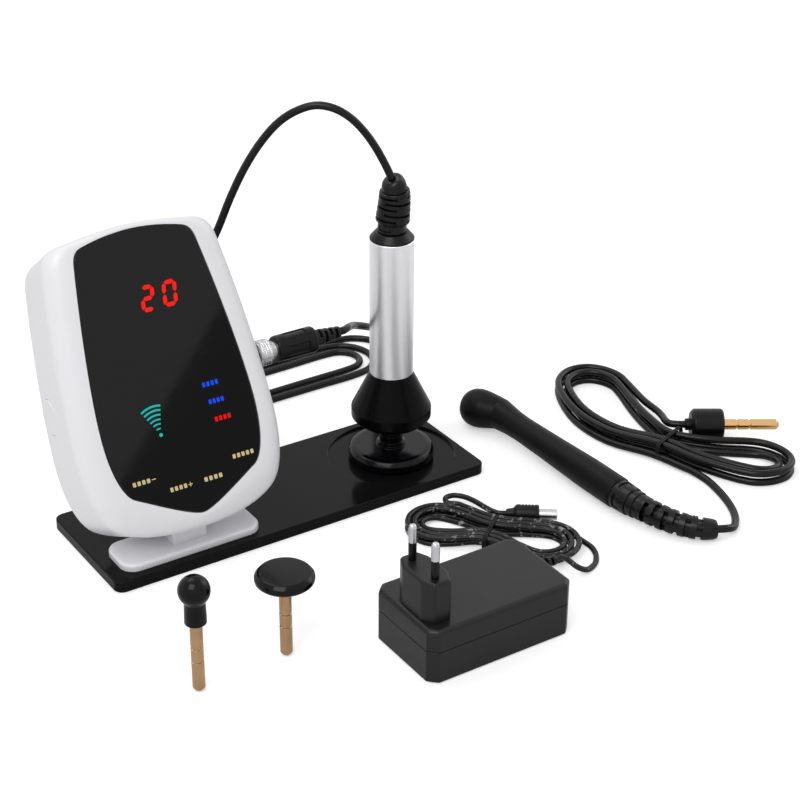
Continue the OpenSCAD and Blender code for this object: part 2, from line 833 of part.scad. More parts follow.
module pin_sleeves() {
    r = mains_pin_d / 2;
    color([0.05, 0.05, 0.05])
        for (s = [-1, 1])
            translate([pins_x, pins_y + s * mains_pitch / 2, 0])
                rotate_extrude($fn = 48)
                    polygon([[r - 0.57, 40], [r - 0.25, 40], [r - 0.25, sleeve_z], [r - 0.57, sleeve_z]]);
}

module adapter_board() {
    color([0.5, 0.4, 0.15])
        translate([adapter_at.x - 34, adapter_at.y - 18, board_z])
            cube([68, 36, board_t]);
}

module adapter_transformer() {
    color([0.8, 0.7, 0.2])
        translate([adapter_at.x + 4, adapter_at.y, board_z + board_t]) {
            translate([-11, -10, 0])
                cube([22, 20, 3]);
            translate([-8, -11, 2])
                cube([16, 22, 12]);
            translate([-11, -10, 12])
                cube([22, 20, 3]);
        }
}

module adapter_relief() {
    wall = adapter_at.x + adapter_l / 2;
    color([0.08, 0.08, 0.08])
        difference() {
            union() {
                along_x(wall - 4, wall + 0.2, relief_y, relief_z, 3.1, fn = 32);
                along_x(wall + 0.2, wall + 2, relief_y, relief_z, 4.2, fn = 32);
                along_x(wall + 2, wall + 18, relief_y, relief_z, 3.8, 2.4, 32);
            }
            for (k = [0:3])
                for (s = [-1, 1])
                    translate([wall + 3.6 + 3.4 * k, relief_y, relief_z])
                        rotate([90 * (k % 2), 0, 0])
                            translate([0, -5, s * 3.9 - 1.4])
                                cube([1.6, 10, 2.8]);
        }
}

dc_rear = [90.5, -85.6, 5];
dc_turn = atan2(-10.1, 14);

module along_dc() {
    translate(dc_rear)
        rotate([0, 0, dc_turn])
            rotate([0, 90, 0])
                children();
}

module dc_plug_body() {
    color([0.07, 0.07, 0.07])
        along_dc()
            difference() {
                rotate_extrude($fn = 48)
                    polygon([[0, 0], [2.4, 0], [3.2, 4], [4.6, 5], [5, 6], [5, 17], [4.6, 17.3], [0, 17.3]]);
                translate([0, 0, 12])
                    cylinder(h = 10, r = 2.5 + tight, $fn = 48);
            }
}

module dc_plug_barrel() {
    color([0.8, 0.8, 0.82])
        along_dc()
            difference() {
                union() {
                    translate([0, 0, 12.4])
                        cylinder(h = 6, r = 2.5, $fn = 48);
                    translate([0, 0, 17.5])
                        cylinder(h = 9.3, r = 2.75, $fn = 48);
                }
                translate([0, 0, 20])
                    cylinder(h = 10, r = 1.25, $fn = 32);
            }
}

// ---- Cords ----

function unit(v) = v / norm(v);
function tangent(p, i) = unit(p[min(i + 1, len(p) - 1)] - p[max(i - 1, 0)]);

// Tube along points p with the radii r, in n sides; ref is never along the tube
module tube(p, r, n, ref) {
    m = len(p);
    pts = [for (i = [0:m - 1]) let (t = tangent(p, i), a = unit(cross(t, ref)), b = cross(a, t))
        for (k = [0:n - 1]) let (w = 360 * (k + 0.5) / n) p[i] + r[i] * (a * cos(w) + b * sin(w))];
    sides = [for (j = [0:m - 2]) for (i = [0:n - 1]) let (a = j * n + i, b = j * n + (i + 1) % n)
        each [[a, b, a + n], [b, b + n, a + n]]];
    front = [for (i = [n - 1:-1:0]) i];
    back = [for (i = [0:n - 1]) (m - 1) * n + i];
    polyhedron(points = pts, faces = concat([front], [back], sides));
}

function same(r, p) = [for (q = p) r];

// Leaves out whatever is under the floor, so that a cord lies on a narrow flat
module on_floor() {
    difference() {
        children();
        translate([-400, -400, -20])
            cube([800, 800, 20]);
    }
}

// Flat winding: u along it, v across it, in half circles joined by straight runs
function nip(u, w) = abs(u) < w ? pow(cos(90 * u / w), 2) : 0;
function nipped(s, pull, w, lift) = [s.x, s.y - sign(s.y) * pull * nip(s.x, w), s.z + lift * nip(s.x, w)];
// Points of a straight run from p to q, at the values of u in marks that lie between them
function run_pts(p, q, marks, pull, w, lift) = [for (i = [0:len(marks) - 1])
    let (u = q.x > p.x ? marks[i] : marks[len(marks) - 1 - i]) if ((u - p.x) * (u - q.x) < 0)
    nipped(p + (q - p) * (u - p.x) / (q.x - p.x), pull, w, lift)];
function turn_pts(side, c, r, z0, z1) = [for (i = [0:6]) let (a = (side > 0 ? -90 : 90) + 30 * i)
    [c + r * cos(a), r * sin(a), z0 + (z1 - z0) * i / 6]];
// turns holds side, radius and the heights at the start and the end of each half circle
function winding(turns, first, last, cl, cr, pull, w, lift) =
    let (t = [for (q = turns) turn_pts(q[0], q[0] > 0 ? cr : cl, q[1], q[2], q[3])],
        marks = [for (i = [1:4]) cl + (cr - cl) * i / 5])
    concat([nipped(first, pull, w, lift)], run_pts(first, t[0][0], marks, pull, w, lift),
        [for (j = [0:len(t) - 1]) each concat(t[j],
            run_pts(t[j][6], j < len(t) - 1 ? t[j + 1][0] : last, marks, pull, w, lift))],
        [nipped(last, pull, w, lift)]);
// Lays a winding along a curve through a, b and c; side is -1 for the mirror image
function laid(p, a, b, c, u0, u1, side) = [for (q = p)
    let (s = (q.x - u0) / (u1 - u0), d = unit(2 * (1 - s) * (b - a) + 2 * s * (c - b)),
        o = pow(1 - s, 2) * a + 2 * s * (1 - s) * b + s * s * c)
    [o.x - side * q.y * d.y, o.y + side * q.y * d.x, q.z]];
// Least distance between parts of a winding that are not neighbours along it
function least_gap(p, skip) = min([for (i = [0:len(p) - 1]) for (j = [i + 1:len(p) - 1])
    let (a = (p[i] + p[min(i + 1, len(p) - 1)]) / 2)
    if (j > i + skip) min(norm(p[i] - p[j]), norm(a - p[j]))]);

// Heights of the centre of a cord that lies on the floor, and of a second layer
thick_z = cord_d * 0.4;
thin_z = thin_d * 0.4;
// Lift of a hank where its tie passes under it
tie_lift = 1.3;

// Handpiece cord: from the side plug down behind the handpiece to the floor
lead_pts = [[wall_x + 51, axis_y, axis_z], [wall_x + 53.5, axis_y, axis_z], [51.5, 2.8, 86.9],
    [58.5, 8.2, 83.4], [68.5, 17.5, 77.3], [81, 30, 68], [93, 45, 57], [104, 61, 45],
    [115, 76, 33], [126, 90, 21], [136, 103, 10], [144, 113, 4.6], [146, 123, 2.4],
    [143, 133, thick_z], [135, 140, thick_z], [124, 142.2, thick_z], [113, 142, thick_z]];
hand_turns = [[-1, 22.6, thick_z, thick_z], [1, 20.2, thick_z, thick_z],
    [-1, 16, thick_z, thick_z], [1, 12, thick_z, thick_z]];
hand_wind = winding(hand_turns, [78, 25, thick_z], [-52, 9, thick_z], -75, 78, 0, 10, 0);
hand_pts = laid(hand_wind, [-75, 117], [19, 117], [113, 117], -110, 78, 1);
riser_pts = [hand_pts[len(hand_pts) - 1], [-22, 125.9, thick_z], [-29.5, 124.5, thick_z], [-36, 121, 2.4],
    [-41, 114, 5], [-42, 105, 10.5], [-39, 95, 20], [-33, 86, 36], [-27, 79, 56], [-20, 70, 80],
    [-12.6, 61.4, 106], [-7, 56, 122]];
arch_pts = [[-7, 56, 122], [-1.4, 50.6, 138], [4.4, 46.2, 156], [10.7, 40.6, 173.6], [17.9, 34.3, 188.8],
    [24.8, 28.1, 199.4], [31.9, 22, 205.7], [39, 16.2, 208.6], [46, 10.6, 207.4], [52.8, 6, 202.6],
    [59, 2.6, 195], [64.4, 0.2, 186], [69, -1.3, 176.6], [70.7, -1.7, 172.8], [72.6, -1.9, 168.6]];

// Wand cord: lead from the wand's boot, hank, and tail to the jack
wand_cord_start = [173, -157.5, 5.2];
wand_pitch = cord_d + 1.1;
wand_a = [228, 21];
wand_b = [174, -65.5];
wand_c = [253, -127];
wand_turns = [for (j = [0:6])
    let (z = thick_z + (j > 3 ? wand_pitch : 0), y = thick_z + (j >= 3 ? wand_pitch : 0))
    [j % 2 == 0 ? -1 : 1, 12.6 + wand_pitch / 2 * abs(j - 3), z, y]];
wand_wind = winding(wand_turns, [16, 24.1, thick_z], [-38, -23.2, thick_z + wand_pitch],
    -78, 47, 10.6, 46.9, tie_lift);
wand_pts = laid(wand_wind, wand_a, wand_b, wand_c, -98, 64, -1);

wand_first = unit(wand_pts[1] - wand_pts[0]);
wand_last = wand_pts[len(wand_pts) - 1];
wand_last_way = unit(wand_last - wand_pts[len(wand_pts) - 2]);
wand_way = unit(wand_joint - wand_end);
wand_boot_curve = [wand_end - 0.3 * wand_way, wand_end - 19 * wand_way, [156, -150, 6], wand_cord_start];
wand_lead_pts = [wand_cord_start, [177.6, -159.5, 5], [183, -159, 3.6], [189, -154.5, 2.2],
    [195.5, -146.5, thick_z], [200.5, -136, thick_z], [204.2, -124, thick_z], [206.4, -112, thick_z],
    wand_pts[0] - 5 * wand_first, wand_pts[0]];
jack_way = [cos(jack_turn), sin(jack_turn), 0];
wand_tail_bend = [wand_last + 4 * wand_last_way, wand_last + 14 * wand_last_way, jack_rear - 16 * jack_way,
    jack_rear - 7 * jack_way];
wand_tail_pts = concat([wand_last], [for (i = [0:4]) bez(wand_tail_bend, i / 4)], [jack_rear - 3 * jack_way]);

// Adapter cord: lead from its relief, hank, and tail to the low voltage plug
thin_pitch = thin_d + 0.7;
thin_a = [46, -60];
thin_b = [73.75, -95.5];
thin_c = [101.5, -131];
thin_turns = [for (j = [0:9])
    let (z = thin_z + (j > 4 ? thin_pitch : 0), y = thin_z + (j >= 4 ? thin_pitch : 0))
    [j % 2 == 0 ? -1 : 1, 9 + thin_pitch / 2 * abs(j - 4), z, y]];
thin_wind = winding(thin_turns, [27.9, 18.3, thin_z], [-20, 19.9, thin_z + thin_pitch],
    -28, 28, 7.4, 27.9, tie_lift);
thin_pts = laid(thin_wind, thin_a, thin_b, thin_c, -45, 45, 1);

thin_first = unit(thin_pts[1] - thin_pts[0]);
thin_last = thin_pts[len(thin_pts) - 1];
thin_last_way = unit(thin_last - thin_pts[len(thin_pts) - 2]);
relief_end = adapter_at.x + adapter_l / 2 + 18;
thin_lead_pts = [[relief_end, relief_y, relief_z], [relief_end + 4, relief_y, relief_z],
    [85, -146.6, 10.5], [90, -147.4, 5.5], [96, -147.6, 2], [103, -144.8, thin_z], [108.4, -139.4, thin_z],
    [111.6, -132, thin_z], [111.6, -124, thin_z], thin_pts[0] - 5 * thin_first, thin_pts[0]];
dc_way = [cos(dc_turn), sin(dc_turn), 0];
thin_tail_pts = [thin_last, thin_last + 4 * thin_last_way, [70.6, -60.2, 5], [73, -55.4, 4.8],
    [78, -55.2, 4.6], [82, -59.4, 4.6], [84, -66, 4.7], [84.8, -73, 4.8], [85.8, -79.6, 4.9],
    dc_rear - 3.6 * dc_way, dc_rear];

// Length along a cord's points
function run_length(p) = len(p) < 2 ? 0 : norm(p[1] - p[0]) + run_length([for (i = [1:len(p) - 1]) p[i]]);

echo(handpiece_hank_gap = least_gap(hand_pts, 4) - cord_d);
echo(wand_hank_gap = least_gap(wand_pts, 4) - cord_d);
echo(adapter_hank_gap = least_gap(thin_pts, 4) - thin_d);
echo(handpiece_cord = [for (p = [lead_pts, hand_pts, riser_pts, arch_pts]) run_length(p)]);
echo(wand_cord = [for (p = [wand_lead_pts, wand_pts, wand_tail_pts]) run_length(p)]);
echo(adapter_cord = [for (p = [thin_lead_pts, thin_pts, thin_tail_pts]) run_length(p)]);

upright = [0, 0, 1];
black = [0.08, 0.08, 0.09];

// Tapering boot with round ribs along a curve of four points
module ribbed(curve, r1, r2, groove, ribs, n, ref) {
    steps = ribs * 4;
    pts = [for (i = [0:steps]) bez(curve, i / steps)];
    radii = [for (i = [0:steps]) (r1 + (r2 - r1) * i / steps) - ((i % 4 == 2 || i % 4 == 3) ? groove : 0)];
    tube(pts, radii, n, ref);
}

module handpiece_boot() {
    color(black)
        ribbed([[stand.x, stand.y, collar_z + 0.3], [stand.x, stand.y, 149], [77, -1.5, 160.4],
            arch_pts[len(arch_pts) - 1]], 8.4, 5, 0.8, 5, 20, [0, 1, 0]);
}

module wand_boot() {
    color(black)
        ribbed(wand_boot_curve, 8.2, 5, 1.5, 6, 20, upright);
}

module handpiece_cord_lead() {
    color(black)
        on_floor()
            tube(lead_pts, same(cord_d / 2, lead_pts), 8, upright);
}

module handpiece_cord_hank() {
    color(black)
        on_floor()
            tube(hand_pts, same(cord_d / 2, hand_pts), 6, upright);
}

module handpiece_cord_riser() {
    color(black)
        on_floor()
            tube(riser_pts, same(cord_d / 2, riser_pts), 8, upright);
}

module handpiece_cord_arch() {
    color(black)
        tube(arch_pts, same(cord_d / 2, arch_pts), 8, [0.5, 0.86, 0]);
}

module wand_cord_lead() {
    color(black)
        on_floor()
            tube(wand_lead_pts, same(cord_d / 2, wand_lead_pts), 8, upright);
}

module wand_cord_hank() {
    color(black)
        on_floor()
            tube(wand_pts, same(cord_d / 2, wand_pts), 6, upright);
}

module wand_cord_tail() {
    color(black)
        tube(wand_tail_pts, same(cord_d / 2, wand_tail_pts), 8, upright);
}

module adapter_cord_lead() {
    color(black)
        on_floor()
            tube(thin_lead_pts, same(thin_d / 2, thin_lead_pts), 8, upright);
}

module adapter_cord_hank() {
    color(black)
        on_floor()
            tube(thin_pts, same(thin_d / 2, thin_pts), 6, upright);
}

module adapter_cord_tail() {
    color(black)
        tube(thin_tail_pts, same(thin_d / 2, thin_tail_pts), 8, upright);
}

// Flat band round a hank, between two near points on it: half its inner width, and its inner height
module tie(at, half_w, high) {
    translate([at[0].x, at[0].y, 0])
        rotate([0, 0, atan2(at[1].y - at[0].y, at[1].x - at[0].x)])
            difference() {
                translate([-1.5, -half_w - 0.8, 0])
                    cube([3, 2 * half_w + 1.6, high + 1.3]);
                translate([-3, -half_w, 0.5])
                    cube([6, 2 * half_w, high]);
            }
}

module wand_cord_tie() {
    color(black)
        tie(laid([[0, 1.8, 0], [1, 1.8, 0]], wand_a, wand_b, wand_c, -98, 64, -1), 13.4, 10.5);
}

module adapter_cord_tie() {
    color(black)
        tie(laid([[0, 0.9, 0], [1, 0.9, 0]], thin_a, thin_b, thin_c, -45, 45, 1), 13.1, 7.8);
}

tray();
foot();
foot_screws();
hinge_pin();
friction_washers();
front_shell();
rear_cover();
touch_glass();
display_board();
led_display();
key_lights();
main_board();
step_up_transformer();
dc_inlet();
board_screws();
cover_screws();
side_cap();
panel_socket();
coupling_nut();
plug_barrel();
plug_grip();
plug_boot();
handpiece_tube();
handpiece_cone();
tip_socket();
insulating_core();
end_collar();
handpiece_boot();
large_disc();
large_disc_pin();
ball_head();
ball_pin();
medium_disc();
medium_disc_pin();
wand_handle();
wand_head();
wand_boot();
jack_body();
jack_pin();
adapter_base();
adapter_top();
mains_pins();
pin_sleeves();
adapter_board();
adapter_transformer();
adapter_relief();
dc_plug_body();
dc_plug_barrel();
handpiece_cord_lead();
handpiece_cord_hank();
handpiece_cord_riser();
handpiece_cord_arch();
wand_cord_lead();
wand_cord_hank();
wand_cord_tail();
wand_cord_tie();
adapter_cord_lead();
adapter_cord_hank();
adapter_cord_tail();
adapter_cord_tie();
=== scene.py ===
"""Looks of the facial toning device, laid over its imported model.

Lengths are in millimetres, in the model's own frame, until a mesh or an object is made.
"""
import json
from math import asin, atan2, cos, degrees, pi, radians, sin, tan

import bmesh
import bpy
from mathutils import Matrix, Vector


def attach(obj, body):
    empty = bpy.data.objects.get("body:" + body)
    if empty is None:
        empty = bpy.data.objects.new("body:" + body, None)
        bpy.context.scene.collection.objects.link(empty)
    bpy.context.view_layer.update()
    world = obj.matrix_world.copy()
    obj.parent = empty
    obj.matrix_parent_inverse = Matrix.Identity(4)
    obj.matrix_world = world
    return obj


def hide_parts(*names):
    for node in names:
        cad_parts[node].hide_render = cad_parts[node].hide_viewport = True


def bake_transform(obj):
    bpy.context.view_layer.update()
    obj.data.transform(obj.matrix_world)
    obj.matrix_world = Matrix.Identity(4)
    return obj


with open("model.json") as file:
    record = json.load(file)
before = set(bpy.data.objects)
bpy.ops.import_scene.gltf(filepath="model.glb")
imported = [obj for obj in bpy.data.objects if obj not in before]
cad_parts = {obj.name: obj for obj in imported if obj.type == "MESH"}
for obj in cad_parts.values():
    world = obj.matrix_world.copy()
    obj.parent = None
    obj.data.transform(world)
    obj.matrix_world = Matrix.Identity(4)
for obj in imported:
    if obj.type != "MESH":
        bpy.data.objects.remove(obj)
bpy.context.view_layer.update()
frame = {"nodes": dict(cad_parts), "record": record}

MM = 0.001
scene = bpy.context.scene


# ---- Camera ----

CAMERA_AT = Vector((-425.14, -765.94, 526.77))
CAMERA_TURN = (33.4, 28.1, 0.4)  # degrees round from +Y, down, and rolled
CAMERA_LENS = 85.5


def make_camera():
    az, el, roll = (radians(a) for a in CAMERA_TURN)
    forward = Vector((sin(az) * cos(el), cos(az) * cos(el), -sin(el)))
    right = Vector((cos(az), -sin(az), 0))
    up = right.cross(forward)
    data = bpy.data.cameras.new("camera")
    data.lens, data.sensor_width = CAMERA_LENS, 36
    data.clip_start, data.clip_end = 0.01, 50
    obj = bpy.data.objects.new("camera", data)
    turn = Matrix((right * cos(roll) + up * sin(roll), up * cos(roll) - right * sin(roll), -forward))
    obj.matrix_world = Matrix.Translation(CAMERA_AT * MM) @ turn.transposed().to_4x4()
    scene.collection.objects.link(obj)
    scene.camera = obj


make_camera()


# ---- Driving sizes, the same as the model's ----

STAND = Vector((73.5, -1.0, 0.0))       # where the handpiece stands
HINGE = Vector((-64.5, -21.0, 21.0))    # middle of the console's hinge pin
FACE = Vector((-64.5, -45.0, 33.4))     # lowest middle point of the console's face
LEAN = radians(27)
SHELL_DEPTH = 40.0
COVER_BACK = 45.0
GLASS_T = 1.9
SOCKET = (69.7, 15.0)                   # height up the face, and depth, of the side socket
CAP = (66.0, 30.0)                      # the same of the side cap
WALL_X = FACE.x + 55
AXIS_Y = FACE.y + SOCKET[1] * cos(LEAN) + SOCKET[0] * sin(LEAN)
AXIS_Z = FACE.z - SOCKET[1] * sin(LEAN) + SOCKET[0] * cos(LEAN)
CORD_D = 4.2
THIN_D = 3.0
THICK_Z = CORD_D * 0.4                  # height of a cord that lies on the floor
THIN_Z = THIN_D * 0.4
TIE_LIFT = 1.3                          # how far a tie lifts its hank at the waist
PIN_R = 3.0                             # pins of the tips and the jack
PIN_BORE = PIN_R + 0.03
PIN_L = 37.0

LEANING = Matrix.Translation(FACE) @ Matrix.Rotation(-LEAN, 4, "X")


def toward_x(x, y, z):
    """Turns a piece drawn along +Z so that it runs along +X from this point."""
    return Matrix.Translation((x, y, z)) @ Matrix.Rotation(radians(90), 4, "Y")


def along_way(at, turn, rise=0.0):
    """Turns a piece drawn along +Z so that it runs level, or rising, in this direction."""
    return (Matrix.Translation(at) @ Matrix.Rotation(radians(turn), 4, "Z")
            @ Matrix.Rotation(radians(90 - rise), 4, "Y"))


# ---- Materials ----

MATERIALS = {}

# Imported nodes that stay, and whose finish isn't that of their slot
NODE_FINISH = {
    "jack_pin": "gold", "rear_cover": "white_back", "plug_barrel": "chrome_small",
    "panel_socket": "chrome_small", "coupling_nut": "chrome_small", "mains_pins": "chrome_small",
    "dc_plug_barrel": "chrome_small", "handpiece_cone": "cone_black", "wand_handle": "wand_black",
    "wand_head": "wand_black", "wand_cord_tie": "tie_black", "adapter_cord_tie": "tie_black",
}


def linear(code):
    """Linear colour of a screen colour written as RRGGBB."""
    out = []
    for i in (0, 2, 4):
        v = int(code[i:i + 2], 16) / 255
        out.append(v / 12.92 if v <= 0.04045 else ((v + 0.055) / 1.055) ** 2.4)
    return (*out, 1.0)


class Nodes:
    """Short names for building the nodes of a material, or of the world."""

    def __init__(self, owner, shader="Principled BSDF"):
        owner.use_nodes = True
        self.tree = owner.node_tree
        self.shader = self.tree.nodes[shader]

    def fill(self, node, inputs):
        """Puts values, or the outputs of other nodes, into the inputs named here."""
        for key, value in inputs.items():
            if hasattr(value, "is_linked"):
                self.tree.links.new(value, node.inputs[key])
            else:
                node.inputs[key].default_value = value

    def node(self, kind, output, inputs=None, **settings):
        """Adds a node and gives one of its outputs."""
        node = self.tree.nodes.new("ShaderNode" + kind)
        for key, value in settings.items():
            setattr(node, key, value)
        self.fill(node, inputs or {})
        return node.outputs[output]

    def coord(self, stretch=None):
        plain = self.node("TexCoord", "Object")
        return self.node("Mapping", "Vector", {"Vector": plain, "Scale": stretch}) if stretch else plain

    def noise(self, scale, detail=3.0, rough=0.55, stretch=None):
        return self.node("TexNoise", "Fac", {"Scale": scale, "Detail": detail, "Roughness": rough,
                                             "Vector": self.coord(stretch)})

    def span(self, value, low, high, start=0.3, end=0.7):
        """Takes value, from start to end, over to the span from low to high."""
        return self.node("MapRange", "Result", {"Value": value, "From Min": start, "From Max": end,
                                                "To Min": low, "To Max": high})

    def mix(self, factor, a, b):
        return self.node("Mix", "Result", {"Factor": factor, "A": a, "B": b}, data_type="RGBA")

    def math(self, operation, a, b):
        return self.node("Math", "Value", {0: a, 1: b}, operation=operation)

    def bump(self, height, strength, distance, before=None):
        inputs = {"Height": height, "Strength": strength, "Distance": distance}
        return self.node("Bump", "Normal", {**inputs, "Normal": before} if before else inputs)

    def set(self, **values):
        self.fill(self.shader, {key.replace("_", " "): value for key, value in values.items()})


def material(name):
    MATERIALS[name] = bpy.data.materials.new(name)
    return Nodes(MATERIALS[name])


def darker(colour, by):
    return (colour[0] * by, colour[1] * by, colour[2] * by, 1.0)


def plastic(name, code, rough, grain, depth, coat=0.0, patch=0.9, smudge=0.06, level=0.5):
    """Moulded plastic: a grain of that size (per metre) and depth, with faint patches and smudges."""
    n = material(name)
    base = linear(code)
    patches = n.span(n.noise(38, 4.0), 0.0, 1.0)
    smudges = n.noise(95, 6.0, 0.65, (1.0, 1.0, 2.4))
    fine = n.bump(n.noise(grain, 5.0, 0.6), 0.35, depth)
    n.set(Base_Color=n.mix(patches, darker(base, patch), base),
          Roughness=n.span(smudges, rough - smudge, rough + smudge),
          Normal=n.bump(n.noise(grain * 0.16, 3.0), 0.12, depth, fine),
          Specular_IOR_Level=level, Coat_Weight=coat, Coat_Roughness=0.06)


def metal(name, code, rough, stretch, depth, spread, tarnish):
    """Metal with fine tool marks that run across the stretched axis, and faint tarnish."""
    n = material(name)
    base = linear(code)
    marks = n.noise(900, 4.0, 0.6, stretch)
    stains = n.span(n.noise(120, 5.0), 0.0, 1.0)
    n.set(Base_Color=n.mix(stains, darker(base, tarnish), base), Metallic=1.0,
          Roughness=n.span(marks, rough - spread, rough + spread))
    if depth:
        n.set(Normal=n.bump(marks, 0.3, depth))


def glowing(name, code, strength):
    """Lit print behind the glass, a little uneven as a diffused lamp is."""
    n = material(name)
    base = linear(code)
    patches = n.span(n.noise(700, 2.0), 0.0, 1.0)
    n.set(Base_Color=n.mix(patches, darker(base, 0.12), darker(base, 0.2)), Emission_Color=base,
          Emission_Strength=strength, Roughness=0.35, Specular_IOR_Level=0.1)


def printed_cord_with_painted_glints(name):
    """Thin black flex with pale flecks along it: partly worn print, partly painted highlights of its gloss."""
    n = material(name)
    # Pale flecks in the base colour: partly print, partly painted highlights of the cord's gloss.
    flecks = n.span(n.noise(420, 2.0, 0.5), 0.0, 1.0, 0.6, 0.64)
    band = n.span(n.noise(90, 1.0, 0.5), 0.0, 1.0, 0.45, 0.55)
    n.set(Base_Color=n.mix(n.math("MULTIPLY", flecks, band), linear("0B0B0C"), linear("8A8A8C")),
          Roughness=n.span(n.noise(95, 6.0), 0.28, 0.45), Specular_IOR_Level=0.3,
          Normal=n.bump(n.noise(2000, 5.0), 0.3, 0.00002))


def circuit_board(name):
    """Green solder mask with copper tracks."""
    n = material(name)
    bricks = n.node("TexBrick", "Fac", {"Scale": 260, "Mortar Size": 0.035, "Vector": n.coord()})
    tracks = n.span(bricks, 0.0, 1.0, 0.0, 1.0)
    n.set(Base_Color=n.mix(tracks, linear("0B4A26"), linear("2C7A45")), Roughness=0.35,
          Normal=n.bump(tracks, 0.3, 0.00005))


def wound_wire(name):
    """Varnished copper wire, laid side by side, under a paper wrap."""
    n = material(name)
    wave = n.node("TexWave", "Fac", {"Scale": 900, "Distortion": 1.5, "Vector": n.coord()})
    n.set(Base_Color=n.mix(wave, linear("8A6A28"), linear("D8B354")), Roughness=0.4,
          Normal=n.bump(wave, 0.4, 0.0001))


plastic("tray_gloss", "111112", 0.13, 2600, 0.000004, level=0.08)
plastic("white_shell", "F2F2F5", 0.3, 2200, 0.0000005, coat=0.1, patch=0.99, smudge=0.012)
plastic("white_back", "ECECEF", 0.46, 1500, 0.00003, patch=0.97)
plastic("glass_black", "0B0B0D", 0.05, 900, 0.000002, patch=0.92, smudge=0.02, level=0.24)
plastic("black_satin", "0D0D0E", 0.3, 2400, 0.00002, patch=0.82, level=0.2)
plastic("black_gloss", "07060B", 0.14, 1500, 0.000003, smudge=0.03, level=0.18)
plastic("wand_black", "0D0D0E", 0.4, 2800, 0.00001, patch=0.85, level=0.12)
plastic("cone_black", "070707", 0.22, 2600, 0.00001, patch=0.85, level=0.07)
plastic("adapter_shell", "19191A", 0.36, 2100, 0.00003, patch=0.85, level=0.3)
plastic("cord_rubber", "0A0A0B", 0.26, 2000, 0.00001, patch=0.8, smudge=0.08, level=0.26)
printed_cord_with_painted_glints("thin_cord")
plastic("core", "D8D8CC", 0.5, 1200, 0.00003)
plastic("light_guides", "D8E0E8", 0.2, 900, 0.00001)
plastic("red_led", "4A0B0A", 0.3, 900, 0.00001)
plastic("tie_black", "101011", 0.5, 1600, 0.00004, patch=0.7, level=0.2)
metal("chrome", "F8F8FA", 0.36, (1.0, 1.0, 0.05), 0.0, 0.02, 0.97)
metal("chrome_small", "CDCDD0", 0.24, (1.0, 1.0, 1.0), 0.0, 0.03, 0.92)
metal("steel", "B9B9BC", 0.32, (1.0, 1.0, 1.0), 0.00001, 0.08, 0.8)
metal("brass", "BE9A74", 0.22, (0.04, 0.04, 1.0), 0.000003, 0.05, 0.86)
metal("gold", "E3B67C", 0.15, (0.3, 0.3, 0.3), 0.000002, 0.04, 0.9)
circuit_board("board")
wound_wire("ferrite")
glowing("mark_red", "FF1A0A", 1.0)
glowing("mark_teal", "19C9BC", 0.75)
glowing("mark_blue", "1450F0", 0.85)
glowing("mark_crimson", "F00A0A", 0.85)
glowing("mark_gold", "E6D29A", 0.6)


def dress(obj, finish):
    obj.data.materials.clear()
    obj.data.materials.append(MATERIALS[finish])


for part in frame["record"]["subparts"]:
    dress(frame["nodes"][part["node"]], NODE_FINISH.get(part["node"], part["material_slot"]))


# ---- Mesh making ----

def link_mesh(name, verts, faces, place=None):
    mesh = bpy.data.meshes.new(name)
    points = [Vector(v) for v in verts]
    if place is not None:
        points = [place @ v for v in points]
    mesh.from_pydata([v * MM for v in points], [], faces)
    work = bmesh.new()
    work.from_mesh(mesh)
    bmesh.ops.recalc_face_normals(work, faces=work.faces)
    work.to_mesh(mesh)
    work.free()
    obj = bpy.data.objects.new(name, mesh)
    scene.collection.objects.link(obj)
    return obj


def settle(obj, finish, body, replaces=(), sharp=38):
    """Gives a mesh its shading, finish and body, and hides the nodes it stands for; a mesh given no body is
    left without one.
    """
    dress(obj, finish)
    obj.data.shade_smooth()
    obj.data.set_sharp_from_angle(angle=radians(sharp))
    if body:
        obj.modifiers.new("normals", "WEIGHTED_NORMAL").keep_sharp = True
        apply_modifiers(obj)
        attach(obj, body)
    if replaces:
        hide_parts(*replaces)
    return obj


def apply_modifiers(obj):
    bpy.context.view_layer.update()
    shown = obj.evaluated_get(bpy.context.evaluated_depsgraph_get())
    mesh = bpy.data.meshes.new_from_object(shown)
    obj.modifiers.clear()
    old = obj.data
    obj.data = mesh
    bpy.data.meshes.remove(old)
    return obj


def combine(obj, others, operation):
    for other in others:
        mod = obj.modifiers.new(operation, "BOOLEAN")
        mod.operation, mod.solver, mod.object = operation, "EXACT", other
    apply_modifiers(obj)
    for other in others:
        bpy.data.objects.remove(other)
    return obj


def cut(obj, *cutters):
    return combine(obj, cutters, "DIFFERENCE")


def join(obj, *others):
    return combine(obj, others, "UNION")


def soften(obj, width, segments, angle):
    """Rounds the edges sharper than angle."""
    work = bmesh.new()
    work.from_mesh(obj.data)
    bmesh.ops.remove_doubles(work, verts=work.verts, dist=0.000002)
    bmesh.ops.dissolve_limit(work, angle_limit=radians(1.0), verts=work.verts, edges=work.edges)
    work.to_mesh(obj.data)
    work.free()
    mod = obj.modifiers.new("soften", "BEVEL")
    mod.width, mod.segments = width * MM, segments
    mod.limit_method, mod.angle_limit = "ANGLE", radians(angle)
    return apply_modifiers(obj)


def loft(name, rings, place=None, closed=False):
    """Skin through rings with the same number of points, with flat ends unless it is closed on itself."""
    n = len(rings[0])
    m = len(rings)
    verts = [v for ring in rings for v in ring]
    faces = []
    for j in range(m if closed else m - 1):
        for i in range(n):
            a, b = j * n + i, j * n + (i + 1) % n
            c, d = (j + 1) % m * n + i, (j + 1) % m * n + (i + 1) % n
            faces.append((a, b, d, c))
    if not closed:
        faces.append(tuple(range(n - 1, -1, -1)))
        faces.append(tuple((m - 1) * n + i for i in range(n)))
    return link_mesh(name, verts, faces, place)


